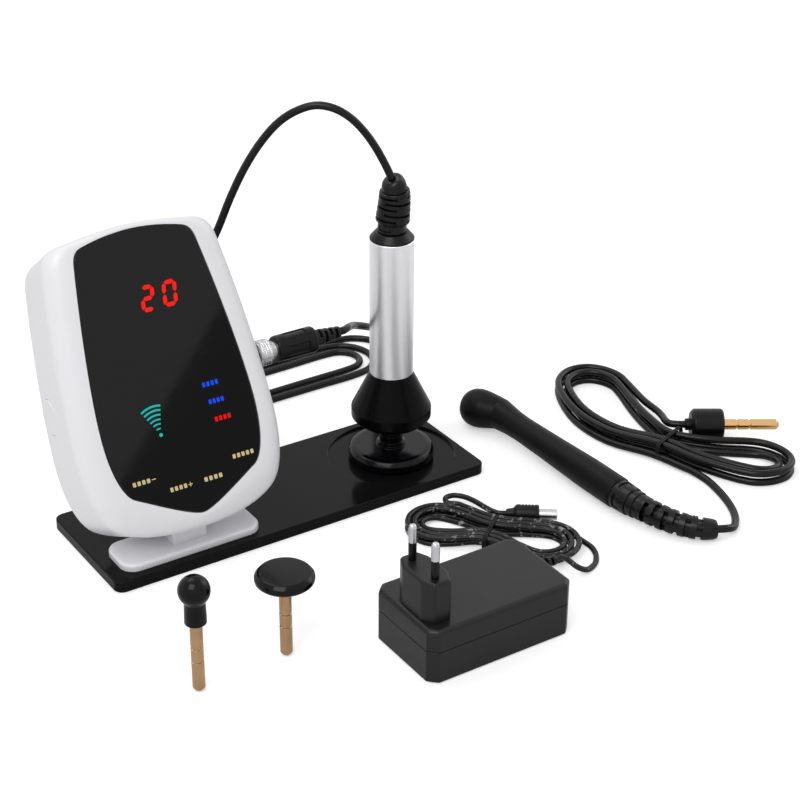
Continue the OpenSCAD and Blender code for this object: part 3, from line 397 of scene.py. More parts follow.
def rounded(profile, radius=0.4, steps=4):
    """Profile with each inner corner rounded; a third number in a point is that corner's own radius."""
    points = [Vector(p[:2]) for p in profile]
    own = [p[2] if len(p) > 2 else radius for p in profile]
    out = [points[0]]
    for i in range(1, len(points) - 1):
        before, corner, after = points[i - 1], points[i], points[i + 1]
        a, b = before - corner, after - corner
        if a.length < 1e-6 or b.length < 1e-6:
            continue
        half = a.angle(b) / 2
        if own[i] <= 0 or pi - 2 * half < 0.02:
            out.append(corner)
            continue
        back = min(own[i] / tan(half), a.length * 0.45, b.length * 0.45)
        start, end = corner + a.normalized() * back, corner + b.normalized() * back
        for k in range(steps + 1):
            t = k / steps
            out.append(start * (1 - t) ** 2 + corner * (2 * t * (1 - t)) + end * t * t)
    out.append(points[-1])
    return out


def lathe(name, profile, place=None, sides=96):
    """Turns a profile of radius and height about Z. Ends at radius 0 are closed to a point."""
    verts, rows, faces = [], [], []
    for r, z in profile:
        count = 1 if r < 1e-6 else sides
        rows.append(range(len(verts), len(verts) + count))
        turns = (2 * pi * i / sides for i in range(count))
        verts += [(r * cos(w), r * sin(w), z) for w in turns] if count > 1 else [(0, 0, z)]
    for low, high in zip(rows, rows[1:]):
        for i in range(sides):
            j = (i + 1) % sides
            corners = (low[i % len(low)], low[j % len(low)], high[j % len(high)], high[i % len(high)])
            face = tuple(dict.fromkeys(corners))
            if len(face) > 2:
                faces.append(face)
    return link_mesh(name, verts, faces, place)


def block(name, low, high, place=None):
    """Straight box between two corners, for cutting and joining."""
    (x0, y0, z0), (x1, y1, z1) = low, high
    return loft(name, [[(x0, y0, z), (x1, y0, z), (x1, y1, z), (x0, y1, z)] for z in (z0, z1)], place)


def rod(name, radius, z0, z1, place=None, sides=64):
    """Straight round bar, for cutting and joining."""
    return lathe(name, [(0, z0), (radius, z0), (radius, z1), (0, z1)], place, sides)


def smooth_path(points, per):
    """Curve through the points, with per steps between each two."""
    pts = [Vector(p) for p in points]
    pts = [pts[0] * 2 - pts[1]] + pts + [pts[-1] * 2 - pts[-2]]
    out = []
    for i in range(1, len(pts) - 2):
        p0, p1, p2, p3 = pts[i - 1:i + 3]
        d0, d1, d2 = ((p1 - p0).length ** 0.5, (p2 - p1).length ** 0.5, (p3 - p2).length ** 0.5)
        m1 = (p2 - p1) + ((p1 - p0) / d0 - (p2 - p0) / (d0 + d1)) * d1
        m2 = (p2 - p1) + ((p3 - p2) / d2 - (p3 - p1) / (d1 + d2)) * d1
        for k in range(per):
            t = k / per
            out.append((2 * t ** 3 - 3 * t * t + 1) * p1 + (t ** 3 - 2 * t * t + t) * m1
                       + (-2 * t ** 3 + 3 * t * t) * p2 + (t ** 3 - t * t) * m2)
    out.append(pts[-2])
    return out


def path_rings(path, radius, sides, ref, closed=False):
    """Rings along a path, kept from twisting, with the first side square to ref."""
    rings, side, last = [], None, len(path) - 1
    for i, p in enumerate(path):
        ahead = path[(i + 1) % len(path)] if closed else path[min(i + 1, last)]
        t = (ahead - (path[i - 1] if closed or i else p)).normalized()
        side = Vector(ref).cross(t) if side is None else side
        side = (side - t * side.dot(t)).normalized()
        up = t.cross(side)
        rings.append([p + radius * (side * cos(w) + up * sin(w))
                      for w in (2 * pi * k / sides for k in range(sides))])
    return rings


def path_length(path):
    return sum((b - a).length for a, b in zip(path, path[1:]))


# ---- Cords ----

def bezier(b, t):
    return b[0] * (1 - t) ** 3 + b[1] * 3 * t * (1 - t) ** 2 + b[2] * 3 * t * t * (1 - t) + b[3] * t ** 3


def nip(u, width):
    return cos(pi / 2 * u / width) ** 2 if abs(u) < width else 0.0


def nipped(p, pull, width, lift):
    """Draws a point of a winding in towards its waist."""
    side = (p[1] > 0) - (p[1] < 0)
    return (p[0], p[1] - side * pull * nip(p[0], width), p[2] + lift * nip(p[0], width))


def winding(turns, first, last, left, right, pull, width, lift):
    """Flat winding: half circles at both ends, joined by straight runs."""
    marks = [left + (right - left) * i / 5 for i in range(1, 5)]

    def run(p, q):
        steps = [(u - p[0]) / (q[0] - p[0]) for u in (marks if q[0] > p[0] else marks[::-1])
                 if (u - p[0]) * (u - q[0]) < 0]
        return [nipped([a + (b - a) * t for a, b in zip(p, q)], pull, width, lift) for t in steps]

    def turn(side, r, z0, z1):
        angles = [radians((-90 if side > 0 else 90) + 30 * i) for i in range(7)]
        return [((right if side > 0 else left) + r * cos(w), r * sin(w), z0 + (z1 - z0) * i / 6)
                for i, w in enumerate(angles)]

    halves = [turn(*t) for t in turns]
    points = [nipped(first, pull, width, lift)] + run(first, halves[0][0])
    for j, half in enumerate(halves):
        points += half + run(half[-1], halves[j + 1][0] if j + 1 < len(halves) else last)
    return points + [nipped(last, pull, width, lift)]


def laid(points, a, b, c, u0, u1, side):
    """Lays a winding along the curve through a, b and c."""
    a, b, c = Vector(a), Vector(b), Vector(c)
    out = []
    for u, v, z in points:
        s = (u - u0) / (u1 - u0)
        way = (2 * (1 - s) * (b - a) + 2 * s * (c - b)).normalized()
        at = (1 - s) ** 2 * a + 2 * s * (1 - s) * b + s * s * c
        out.append(Vector((at.x - side * v * way.y, at.y + side * v * way.x, z)))
    return out


def cord_mesh(name, path, diameter, body, replaces, sides=12, finish="cord_rubber"):
    obj = loft(name, path_rings(path, diameter / 2, sides, (0, 0, 1)))
    return settle(obj, finish, body, replaces, 60)


# The handpiece's cord: from the console's plug, down behind the tray, and up over into the handpiece
LEAD = [(WALL_X + 51, AXIS_Y, AXIS_Z), (WALL_X + 53.5, AXIS_Y, AXIS_Z), (49.4, 4.3, 87.2), (56.4, 13.7, 82.1),
        (64, 21.8, 77.5), (74.2, 26.2, 72.4), (85, 34.6, 65), (94.5, 46.8, 55.5), (104, 61, 45),
        (115, 76, 33), (126, 90, 21), (136, 103, 10), (144, 113, 4.6), (146, 123, 2.4),
        (143, 133, THICK_Z), (135, 140, THICK_Z), (124, 142.2, THICK_Z), (113, 142, THICK_Z)]
HAND_TURNS = [(side, r, THICK_Z, THICK_Z) for side, r in ((-1, 22.6), (1, 20.2), (-1, 16), (1, 12))]
RISER = [(-22, 125.9, THICK_Z), (-29.5, 124.5, THICK_Z), (-36, 121, 2.4), (-41, 114, 5), (-42, 105, 10.5),
         (-39, 95, 20), (-33, 86, 36), (-27, 79, 56), (-20, 70, 80), (-12.6, 61.4, 106), (-7, 56, 122)]
ARCH = [(-1.4, 50.6, 138), (4.4, 46.2, 156), (10.7, 40.6, 173.6), (17.9, 34.3, 188.8), (24.8, 28.1, 199.4),
        (31.9, 22, 205.7), (39, 16.2, 208.6), (46, 10.6, 207.4), (52.8, 6, 202.6), (59, 2.6, 195),
        (64.4, 0.2, 186), (69, -1.3, 176.6), (70.7, -1.7, 172.8), (72.6, -1.9, 168.6)]
ARCH_SPLIT = 4   # ARCH_SPLIT = 4 # points of the arch in its rising piece; the rest are in its falling piece
STEPS = 4        # steps of the curve between two points of a route

# Each hank: the curve it is laid along, the span of the winding that fills it, and its side
WAND_START = (173, -157.5, 5.2)
WAND_PITCH = CORD_D + 1.1
WAND_LAY = ((228, 21), (174, -65.5), (253, -127), -98, 64, -1)
JACK_REAR = Vector((231.2, -69.2, 9.0))
JACK_TURN = -32.5
THIN_PITCH = THIN_D + 0.7
THIN_LAY = ((46, -60), (73.75, -95.5), (101.5, -131), -45, 45, 1)
RELIEF_X = 58.8
RELIEF = (RELIEF_X + 18, -146.0, 14.0)
DC_REAR = Vector((90.5, -85.6, 5.0))
DC_TURN = degrees(atan2(-10.1, 14))


def level_way(turn):
    return Vector((cos(radians(turn)), sin(radians(turn)), 0))


def hank_turns(count, middle, radius, pitch, low):
    """Sides, radii and heights of a hank whose second half lies on its first."""
    return [(1 if j % 2 else -1, radius + pitch / 2 * abs(j - middle), low + pitch * (j > middle),
             low + pitch * (j >= middle)) for j in range(count)]


def make_handpiece_cord():
    """The cord in four pieces that meet: the hank lies still with the stand, and the other three are left
    without a body.
    """
    wind = winding(HAND_TURNS, (78, 25, THICK_Z), (-52, 9, THICK_Z), -75, 78, 0, 10, 0)
    hank = laid(wind, (-75, 117), (19, 117), (113, 117), -110, 78, 1)
    stretches = [LEAD, hank[1:], RISER, ARCH[:ARCH_SPLIT], ARCH[ARCH_SPLIT:]]
    whole = smooth_path([p for s in stretches for p in s], STEPS)
    ends = [STEPS * (sum(len(s) for s in stretches[:i + 1]) - 1) for i in range(len(stretches))]
    lead, floor, riser, rise, fall = (whole[a:b + 1] for a, b in zip([0] + ends, ends))
    for name, path, lay, nodes, bodies, span in (
            ("handpiece_cord_from_console", lead, "loose", ["handpiece_cord_lead"],
             ("console", "stand"), (lead[4], lead[18])),
            ("handpiece_cord_loops", floor, "coiled", ["handpiece_cord_hank"], None, None),
            ("handpiece_cord_rise", riser + rise[1:], "loose",
             ["handpiece_cord_riser", "handpiece_cord_arch"], ("stand", "large_tip"), (riser[16], rise[-1])),
            ("handpiece_cord_fall", fall, "loose", [], ("large_tip", "handpiece"), (fall[0], fall[-8]))):
        obj = cord_mesh(name, path, CORD_D, None if bodies else "stand", nodes)
        if bodies:
            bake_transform(obj)


def make_wand_cord():
    turns = hank_turns(7, 3, 12.6, WAND_PITCH, THICK_Z)
    wind = winding(turns, (16, 24.1, THICK_Z), (-38, -23.2, THICK_Z + WAND_PITCH), -78, 47, 10.6, 46.9,
                   TIE_LIFT)
    hank = laid(wind, *WAND_LAY)
    first = (hank[1] - hank[0]).normalized()
    last, last_way = hank[-1], (hank[-1] - hank[-2]).normalized()
    lead = [WAND_START, (177.6, -159.5, 5), (183, -159, 3.6), (189, -154.5, 2.2), (195.5, -146.5, THICK_Z),
            (200.5, -136, THICK_Z), (204.2, -124, THICK_Z), (206.4, -112, THICK_Z), hank[0] - 5 * first]
    way = level_way(JACK_TURN)
    bend = [last + 4 * last_way, last + 14 * last_way, JACK_REAR - 16 * way, JACK_REAR - 7 * way]
    tail = [bezier(bend, i / 4) for i in range(5)] + [JACK_REAR - 3 * way]
    path = smooth_path(lead + hank + tail, STEPS)
    obj = cord_mesh("wand_cord", path, CORD_D, "stand",
                    ["wand_cord_lead", "wand_cord_hank", "wand_cord_tail"])


def make_adapter_cord():
    turns = hank_turns(10, 4, 9, THIN_PITCH, THIN_Z)
    wind = winding(turns, (27.9, 18.3, THIN_Z), (-20, 19.9, THIN_Z + THIN_PITCH), -28, 28, 7.4, 27.9,
                   TIE_LIFT)
    hank = laid(wind, *THIN_LAY)
    first = (hank[1] - hank[0]).normalized()
    last, last_way = hank[-1], (hank[-1] - hank[-2]).normalized()
    x, y, z = RELIEF
    lead = [RELIEF, (x + 4, y, z), (85, -146.6, 10.5), (90, -147.4, 5.5), (96, -147.6, 2),
            (103, -144.8, THIN_Z), (108.4, -139.4, THIN_Z), (111.6, -132, THIN_Z), (111.6, -124, THIN_Z),
            hank[0] - 5 * first]
    way = level_way(DC_TURN)
    tail = [last + 4 * last_way, (70.6, -60.2, 5), (73, -55.4, 4.8), (78, -55.2, 4.6), (82, -59.4, 4.6),
            (84, -66, 4.7), (84.8, -73, 4.8), (85.8, -79.6, 4.9), DC_REAR - 3.6 * way, DC_REAR]
    path = smooth_path(lead + hank + tail, STEPS)
    obj = cord_mesh("adapter_cord", path, THIN_D, "stand",
                    ["adapter_cord_lead", "adapter_cord_hank", "adapter_cord_tail"], 10, "thin_cord")


# ---- Tray and foot ----

TRAY_LENGTH = 222
TRAY_WIDTH = 77
TRAY_TOP = 6.0
RECESS_FLOOR = 4.5   # the large tip stands on it
SCREW_HALF = 30      # half the distance between the foot's screws
FOOT_TOP = 10.0
KNUCKLE_R = 6
KNUCKLE_HALF = 9.5


def corner_ring(length, width, corner, z, inset, centre, steps, cut_corner):
    """Rectangle with round corners, or with cut corners that are a little rounded, drawn in by inset."""
    hx, hy = length / 2 - inset, width / 2 - inset
    r = max(corner - inset * (0.586 if cut_corner else 1.0), 0.3)
    out = []
    for sx, sy, start in ((1, 1, 0), (-1, 1, 90), (-1, -1, 180), (1, -1, 270)):
        for w in (radians(start + 90 * k / steps) for k in range(steps + 1)):
            flat = 1 / max(abs(cos(w)) + abs(sin(w)), 1e-6)
            reach = r * (flat + (1 - flat) * 0.12) if cut_corner else r
            out.append((centre[0] + sx * (hx - r) + reach * cos(w),
                        centre[1] + sy * (hy - r) + reach * sin(w), z))
    return out


def slab(name, length, width, corner, z0, z1, top, bottom, centre=(0.0, 0.0), steps=6, cut_corner=False,
         rounds=4):
    """Plate with rounded top and bottom edges."""
    bend = [radians(90 * k / rounds) for k in range(rounds + 1)]
    edges = [(z0, bottom, w) for w in bend[::-1]] + [(z1, -top, w) for w in bend]
    return loft(name, [corner_ring(length, width, corner, z + edge * (1 - sin(w)), abs(edge) * (1 - cos(w)),
                                   centre, steps, cut_corner) for z, edge, w in edges])


def make_tray():
    recess = [(0, RECESS_FLOOR), (34.4, RECESS_FLOOR), (34.8, 4.65), (35.0, 5.0), (35.0, 5.6), (35.5, 6.05),
              (35.5, 9), (0, 9)]
    tray = cut(slab("tray_plate", TRAY_LENGTH, TRAY_WIDTH, 5, 0.0, TRAY_TOP, 0.8, 0.4),
               lathe("recess", recess, Matrix.Translation(STAND), 128))
    for x in (HINGE.x - SCREW_HALF, HINGE.x + SCREW_HALF):
        tray = cut(tray, rod("screw_seat", 3.3, -1, 2.4, Matrix.Translation((x, HINGE.y, 0)), 32))
    settle(tray, "tray_gloss", "stand", ["tray"], 30)

    foot = slab("foot_plate", 78, 26.5, 8, TRAY_TOP, FOOT_TOP, 1.5, 0.3, (HINGE.x, HINGE.y + 0.75), 10)
    knuckle = rod("knuckle", KNUCKLE_R, -KNUCKLE_HALF, KNUCKLE_HALF, toward_x(*HINGE))
    riser = block("riser", (HINGE.x - KNUCKLE_HALF, HINGE.y - KNUCKLE_R, FOOT_TOP - 2),
                  (HINGE.x + KNUCKLE_HALF, HINGE.y + KNUCKLE_R, HINGE.z))
    knuckle = soften(join(knuckle, riser), 0.7, 3, 60)
    settle(join(foot, knuckle), "white_shell", "stand", ["foot"], 35)


# ---- Console ----

SHELL = [[(0, -5.5), (18, -5.5), (33, -3), (43, 4)], [(43, 4), (50, 9), (54.3, 22), (55, 40)],
         [(55, 40), (55.7, 58), (53, 100), (48, 134)], [(48, 134), (47, 140.8), (44, 145.5), (37, 146.5)],
         [(37, 146.5), (25, 148.2), (13, 150), (0, 150)]]
PANEL = [[(0, 2.4), (6, 2.4), (24, 13), (33, 17.8)], [(33, 17.8), (38, 20.5), (42, 32), (42, 50)],
         [(42, 50), (42, 72), (37, 110), (33, 134)], [(33, 134), (32.2, 139.5), (30, 141.7), (26, 142.5)],
         [(26, 142.5), (18, 144.6), (9, 146), (0, 146)]]


def outline(pieces):
    """Closed outline of curves for its right half, each of 12 steps, and their mirror image."""
    half = [bezier([Vector(p) for p in piece], k / 12) for piece in pieces for k in range(12)]
    return half + [Vector(pieces[-1][3])] + [Vector((-p.x, p.y)) for p in half[:0:-1]]


def scaled(points, sx, sy):
    return [Vector((p.x * sx, 72 + (p.y - 72) * sy)) for p in points]


def between(a, b, t):
    return [p * (1 - t) + q * t for p, q in zip(a, b)]


def ring_at(points, c):
    """The outline at a depth of c: the console narrows and drops a little toward its back."""
    return [(p.x * (1 - 0.0004 * k), c, p.y - 0.04 * k)
            for p in points for k in (max(p.y, 0) * c / COVER_BACK,)]


def flat_at(points, c):
    return [(p.x, c, p.y) for p in points]


SHELL_O = outline(SHELL)
PANEL_O = outline(PANEL)
FACE_O = scaled(PANEL_O, 1.02, 1.011)
SEAM_O = scaled(SHELL_O, 0.996, 0.997)
REAR_O = scaled(SHELL_O, 0.86, 0.87)
LIP = 9.5            # depth over which the face rounds into the wall
SLOT_HALF = 10.2     # half the width of the slot for the knuckle
KNUCKLE_ROOM = 6.9   # radius that the shell leaves free round the knuckle
HOUSING_R = 10.5     # reach of the solid part round the hinge
HINGE_C = (HINGE.y - FACE.y) * cos(LEAN) - (HINGE.z - FACE.z) * sin(LEAN)
HINGE_B = (HINGE.y - FACE.y) * sin(LEAN) + (HINGE.z - FACE.z) * cos(LEAN)
COVER_AT = [(-44, 112), (44, 112), (-47, 32), (47, 32)]
INLET = (-24, 17)


def deep(name, a, b, c0, c1, radius):
    """Bar along the depth of the console, for cutting."""
    turn = Matrix.Translation((a, c0, b)) @ Matrix.Rotation(radians(-90), 4, "X")
    return rod(name, radius, 0, c1 - c0, LEANING @ turn, 48)


def across(name, a0, a1, c, b, radius):
    """Bar across the console, for cutting."""
    return rod(name, radius, 0, a1 - a0, LEANING @ toward_x(a0, c, b))


def make_console():
    bend = [radians(9 * k) for k in range(11)]
    rings = [ring_at(between(FACE_O, SHELL_O, sin(w)), LIP * (1 - cos(w))) for w in bend]
    rings += [ring_at(SHELL_O, LIP + 3.0 * k) for k in range(1, 10)]
    rings += [ring_at(SHELL_O, SHELL_DEPTH - 0.5), ring_at(SEAM_O, SHELL_DEPTH - 0.05)]
    hollow = loft("hollow", [ring_at(scaled(between(FACE_O, SHELL_O, 0.4), 0.95, 0.962), 3.8),
                             ring_at(scaled(SHELL_O, 0.95, 0.966), LIP),
                             ring_at(scaled(SHELL_O, 0.95, 0.966), SHELL_DEPTH + 2)], LEANING)
    housing = block("housing", (-SLOT_HALF - 3, HINGE_C - HOUSING_R, -12),
                    (SLOT_HALF + 3, SHELL_DEPTH - 1, 11), LEANING)
    hollow = cut(hollow, housing)
    recess = loft("recess", [flat_at(scaled(PANEL_O, 1.004, 1.003), c) for c in (-5, GLASS_T + 0.1)], LEANING)
    window = loft("window", [flat_at(scaled(PANEL_O, 0.84, 0.9), c) for c in (0, 6)], LEANING)
    shell = cut(loft("console_shell", rings, LEANING), hollow, recess, window)
    shell = cut(shell, across("knuckle_room", -SLOT_HALF, SLOT_HALF, HINGE_C, HINGE_B, KNUCKLE_ROOM),
                block("slot", (-SLOT_HALF, HINGE_C - KNUCKLE_ROOM, HINGE_B - 20),
                      (SLOT_HALF, HINGE_C + HOUSING_R, HINGE_B), LEANING),
                across("socket_hole", 45, 60, SOCKET[1], SOCKET[0], 4.1),
                across("cap_hole", -60, -45, CAP[1], CAP[0], 9.2))
    settle(shell, "white_shell", "console", ["front_shell"], 40)

    edge = ((0.978, 0.0), (0.986, 0.0), (0.992, 0.05), (0.9965, 0.3), (0.998, 0.6), (0.998, GLASS_T))
    glass = [flat_at(scaled(PANEL_O, s, 1 - (1 - s) * 0.55), c) for s, c in edge]
    glass = loft("console_glass", glass, LEANING)
    settle(glass, "glass_black", "console", ["touch_glass"], 50)

    crown = ((0.5, 0.0), (1.2, 0.06), (2.0, 0.17), (2.8, 0.31), (3.5, 0.46), (4.1, 0.61), (4.6, 0.77),
             (4.88, 0.89), (5.0, 1.0))
    rings = [ring_at(between(scaled(SHELL_O, 0.999, 0.999), REAR_O, s), SHELL_DEPTH + c) for c, s in crown]
    back = loft("console_back", [ring_at(SEAM_O, SHELL_DEPTH + 0.1)] + rings, LEANING)
    for a, b in COVER_AT:
        back = cut(back, deep("screw_seat", a, b, SHELL_DEPTH + 2.2, COVER_BACK + 5, 2.8))
    back = cut(back, deep("inlet_hole", *INLET, SHELL_DEPTH - 1, COVER_BACK + 1, 4.2))
    settle(back, "white_back", "console", ["rear_cover"], 40)

    place = LEANING @ Matrix.Translation((-49.8, CAP[1], CAP[0])) @ Matrix.Rotation(radians(-90), 4, "Y")
    cap = lathe("console_side_cap", rounded([(0, 0), (8.95, 0), (8.95, 4.0), (0, 4.0)], 0.35), place)
    settle(cap, "white_shell", "console", ["side_cap"], 50)


FIGURE_LOW = 104.6               # height up the face of the lit figures' foot
FIGURE_HIGH = 12.9
FIGURE_THICK = 2.0
FIGURE_SLANT = 0.16
FAN_AT = Vector((-11.6, 44.9))   # middle of the level fan's arcs
FAN_START = 77                   # degrees at which its arcs start
FAN_SPREAD = 42


def prints(name, finish, shapes):
    """Thin prints on the glass: each shape is a convex outline in the face's own side and height."""
    verts, faces = [], []
    for shape in shapes:
        n, base = len(shape), len(verts)
        verts += [(a, -0.05, b) for a, b in shape] + [(a, 0.01, b) for a, b in shape]
        faces += [tuple(base + i for i in range(n)), tuple(base + n + i for i in range(n - 1, -1, -1))]
        faces += [(base + i, base + n + i, base + n + (i + 1) % n, base + (i + 1) % n) for i in range(n)]
    settle(link_mesh(name, verts, faces, LEANING), finish, "console", (), 30)


def bar_shape(x0, y0, x1, y1, k):
    """Upright block with its corners cut by k."""
    return [(x0 + k, y0), (x1 - k, y0), (x1, y0 + k), (x1, y1 - k), (x1 - k, y1), (x0 + k, y1), (x0, y1 - k),
            (x0, y0 + k)]


def box_shape(x0, y0, x1, y1):
    return [(x0, y0), (x1, y0), (x1, y1), (x0, y1)]


def digit_shapes(segments, x, width):
    """Seven-segment figure: a top, b and c right, d bottom, e and f left, g middle."""
    gap, h = 0.28, FIGURE_THICK / 2
    left, right, mid = x + h, x + width - h, FIGURE_LOW + FIGURE_HIGH / 2
    bottom, top = FIGURE_LOW + h, FIGURE_LOW + FIGURE_HIGH - h
    lines = {"a": (left, top, right, top), "b": (right, mid, right, top), "c": (right, bottom, right, mid),
             "d": (left, bottom, right, bottom), "e": (left, bottom, left, mid), "f": (left, mid, left, top),
             "g": (left, mid, right, mid)}
    out = []
    for x0, y0, x1, y1 in (lines[key] for key in segments):
        if y0 == y1:
            shape = [(x0 + gap, y0), (x0 + gap + h, y0 - h), (x1 - gap - h, y0 - h), (x1 - gap, y0),
                     (x1 - gap - h, y0 + h), (x0 + gap + h, y0 + h)]
        else:
            shape = [(x0, y0 + gap), (x0 + h, y0 + gap + h), (x0 + h, y1 - gap - h), (x0, y1 - gap),
                     (x0 - h, y1 - gap - h), (x0 - h, y0 + gap + h)]
        out.append([(a + FIGURE_SLANT * (b - FIGURE_LOW), b) for a, b in shape])
    return out


def row_of_blocks(a0, a1, b, high, count, sign=None):
    """Plain row of blocks in place of a word, with a plus or minus at its end where sign says so."""
    cell = (a1 - a0) / (count + (1 if sign else 0))
    out = [bar_shape(a0 + cell * i, b - high / 2, a0 + cell * (i + 0.66), b + high / 2, 0.25)
           for i in range(count)]
    x, half, arm = a0 + cell * (count + 0.45), 0.22, 1.1
    if sign:
        out.append(box_shape(x - arm, b - half, x + arm, b + half))
    if sign == "+":
        out += [box_shape(x - half, b + 0.24, x + half, b + arm),
                box_shape(x - half, b - arm, x + half, b - 0.24)]
    return out


def fan_point(radius, angle):
    w = radians(angle)
    return FAN_AT.x + radius * cos(w), FAN_AT.y + radius * sin(w)


def make_marks():
    prints("display_figures", "mark_red", digit_shapes("abged", -4.9, 7.4) + digit_shapes("abcdef", 6.9, 7.8))
    fan = [[fan_point(0.95, 30 * k) for k in range(12)]]
    for radius, thick, spill in ((3.2, 0.7, 0.0), (5.5, 0.75, 0.5), (7.7, 0.8, 0.8), (10.0, 0.85, 1.0),
                                 (12.3, 0.9, 1.0), (14.5, 0.95, 1.0)):
        inner, outer = radius - thick / 2, radius + thick / 2
        for k in range(6):
            a0, a1 = (FAN_START - spill + (FAN_SPREAD + 2 * spill) * step / 6 for step in (k, k + 1))
            fan.append([fan_point(r, a) for r, a in ((inner, a0), (outer, a0), (outer, a1), (inner, a1))])
    prints("level_fan", "mark_teal", fan)
    prints("mode_marks", "mark_blue",
           row_of_blocks(16.2, 25.6, 62.8, 2.4, 4) + row_of_blocks(17.3, 26.3, 53.9, 2.4, 4))
    prints("mode_mark_lit", "mark_crimson", row_of_blocks(18.2, 27.8, 44.8, 2.4, 4))
    prints("key_marks", "mark_gold",
           row_of_blocks(22.4, 35.0, 24.4, 2.2, 5) + row_of_blocks(4.6, 15.4, 17.5, 2.2, 4)
           + row_of_blocks(-14.2, -1.8, 17.5, 2.2, 4, "+") + row_of_blocks(-32.4, -19.8, 25.1, 2.2, 4, "-"))


# ---- Side connector ----

def slotted(name, stations, place=None, path=None, sides=64, ref=(0, 1, 0)):
    """Round moulding along +Z, or along a path, with slots.

    A station is a distance, a radius and, where it is cut, a function that gives the depth at each angle."""
    path = path or [Vector(), Vector((0, 0, 1))]
    far = [0.0]
    for a, b in zip(path, path[1:]):
        far.append(far[-1] + (b - a).length)
    rings, side = [], None
    for s, r, *cuts in stations:
        i = max(j for j in range(len(far) - 1) if far[j] <= s + 1e-6 or j == 0)
        t = (s - far[i]) / (far[i + 1] - far[i])
        back, ahead = path[max(i - 1, 0)], path[min(i + 2, len(path) - 1)]
        way = ((path[i + 1] - back) * (1 - t) + (ahead - path[i]) * t).normalized()
        side = Vector(ref).cross(way) if side is None else side
        side = (side - way * side.dot(way)).normalized()
        up, at = way.cross(side), path[i] * (1 - t) + path[i + 1] * t
        rings.append([at + (r - sum(depth(w) for depth in cuts)) * (side * cos(w) + up * sin(w))
                      for w in (2 * pi * (k + 0.5) / sides for k in range(sides))])
    return loft(name, rings, place)


def two_slots(depth, turned):
    """Slots on two opposite sides, with a bridge between them."""
    return lambda w: depth if abs(sin(w) if turned else cos(w)) > 0.42 else 0.0


def four_pads(depth, bridge):
    """Flats cut on four sides, with ridges between them."""
    return lambda w: depth if abs(cos(2 * w)) > bridge else 0.0


def slotted_run(start, end, r0, r1, count, depth, groove):
    """Stations of a tapered run with this many slots across it, alternately turned, with rolled lips."""
    out, lip, pitch = [], 0.12, (end - start) / count
    for i in range(count):
        s0 = start + pitch * i + (pitch - groove) / 2
        s1 = s0 + groove
        a, b = (r0 + (r1 - r0) * (s - start) / (end - start) for s in (s0, s1))
        slots = two_slots(depth, i % 2 == 1)
        out += [(s0 - lip - 0.1, a), (s0 - lip * 0.3, a - lip * 0.5), (s0, a - lip),
                (s0 + 0.02, a - lip, slots), (s1 - 0.02, b - lip, slots),
                (s1, b - lip), (s1 + lip * 0.3, b - lip * 0.5), (s1 + lip + 0.1, b)]
    return out


KNURL_ROWS = 22
KNURL_R = 6.98
KNURL_DEPTH = 0.42


def knurled(w, s):
    """Radius of a crossed knurl of 24 ridges each way, at an angle and a distance."""
    ridge = sum(abs((12 * w / pi + turn) % 1.0 - 0.5) for turn in (s * 1.15, -s * 1.15))
    return KNURL_R - KNURL_DEPTH * min(1.0, abs(ridge - 0.5) * 1.6)


def make_connector():
    at = toward_x(WALL_X, AXIS_Y, AXIS_Z)
    socket = lathe("console_socket", rounded([(0, -9), (3.2, -9), (4, -8.6), (4, 2.6), (3.1, 2.6), (3.1, 0.5),
                                              (0, 0.5)], 0.2), at, 64)
    settle(socket, "chrome_small", "console", ["panel_socket"], 40)

    angles = [2 * pi * i / 144 for i in range(144)]
    rows = [(4.75, 0.92), (6.3, 0.92), (6.55, 1.1), (6.62, 1.5)]
    rows += [(None, 1.7 + 5.6 * k / KNURL_ROWS) for k in range(KNURL_ROWS + 1)]
    rows += [(6.62, 7.5), (6.55, 7.95), (6.25, 8.27), (4.75, 8.27)]
    rings = [[(r * cos(w), r * sin(w), s) for w in angles for r in (own or knurled(w, s),)]
             for own, s in rows]
    nut = loft("coupling_nut_knurled", rings, at, closed=True)
    settle(nut, "chrome_small", "coupling_nut", ["coupling_nut"], 25)

    barrel = rounded([(0, -6), (3, -6), (3, 3), (4.65, 3, 0.1), (4.65, 9.6), (4.35, 9.8), (4.35, 10.2),
                      (4.65, 10.4), (4.65, 16), (0, 16)], 0.15)
    barrel = lathe("plug_barrel_turned", barrel, at)
    settle(barrel, "chrome_small", "console", ["plug_barrel"], 40)

    pads = four_pads(0.75, 0.72)
    grip = slotted("plug_grip_moulded",
                   [(11.6, 5.6), (11.65, 6.2), (11.9, 6.6), (12.6, 6.9), (13.4, 7.0), (17.0, 7.0),
                    (17.4, 7.0, pads), (29.4, 7.0, pads), (29.8, 7.0), (33.4, 7.0), (34.3, 6.85),
                    (34.8, 6.5), (35.0, 6.0), (35.0, 4.4)], at, sides=96)
    settle(grip, "black_satin", "console", ["plug_grip"], 32)

    boot = slotted("plug_boot_slotted", [(34.9, 4.5), (36.2, 4.6)]
                   + slotted_run(36.4, 49.6, 4.6, 3.1, 4, 1.7, 1.6)
                   + [(49.9, 3.1), (50.6, 2.95), (50.95, 2.5), (51.0, 2.1)], at, sides=56)
    settle(boot, "cord_rubber", "console", ["plug_boot"], 32)


# ---- Handpiece and its large tip ----

TIP_TOP = 27.0      # foot of the cone, and of the part of the large tip's pin that holds it
TUBE_R = 11.8
TUBE_BORE = 10.27
TUBE_LOW = 57.0
TUBE_HIGH = 134.8


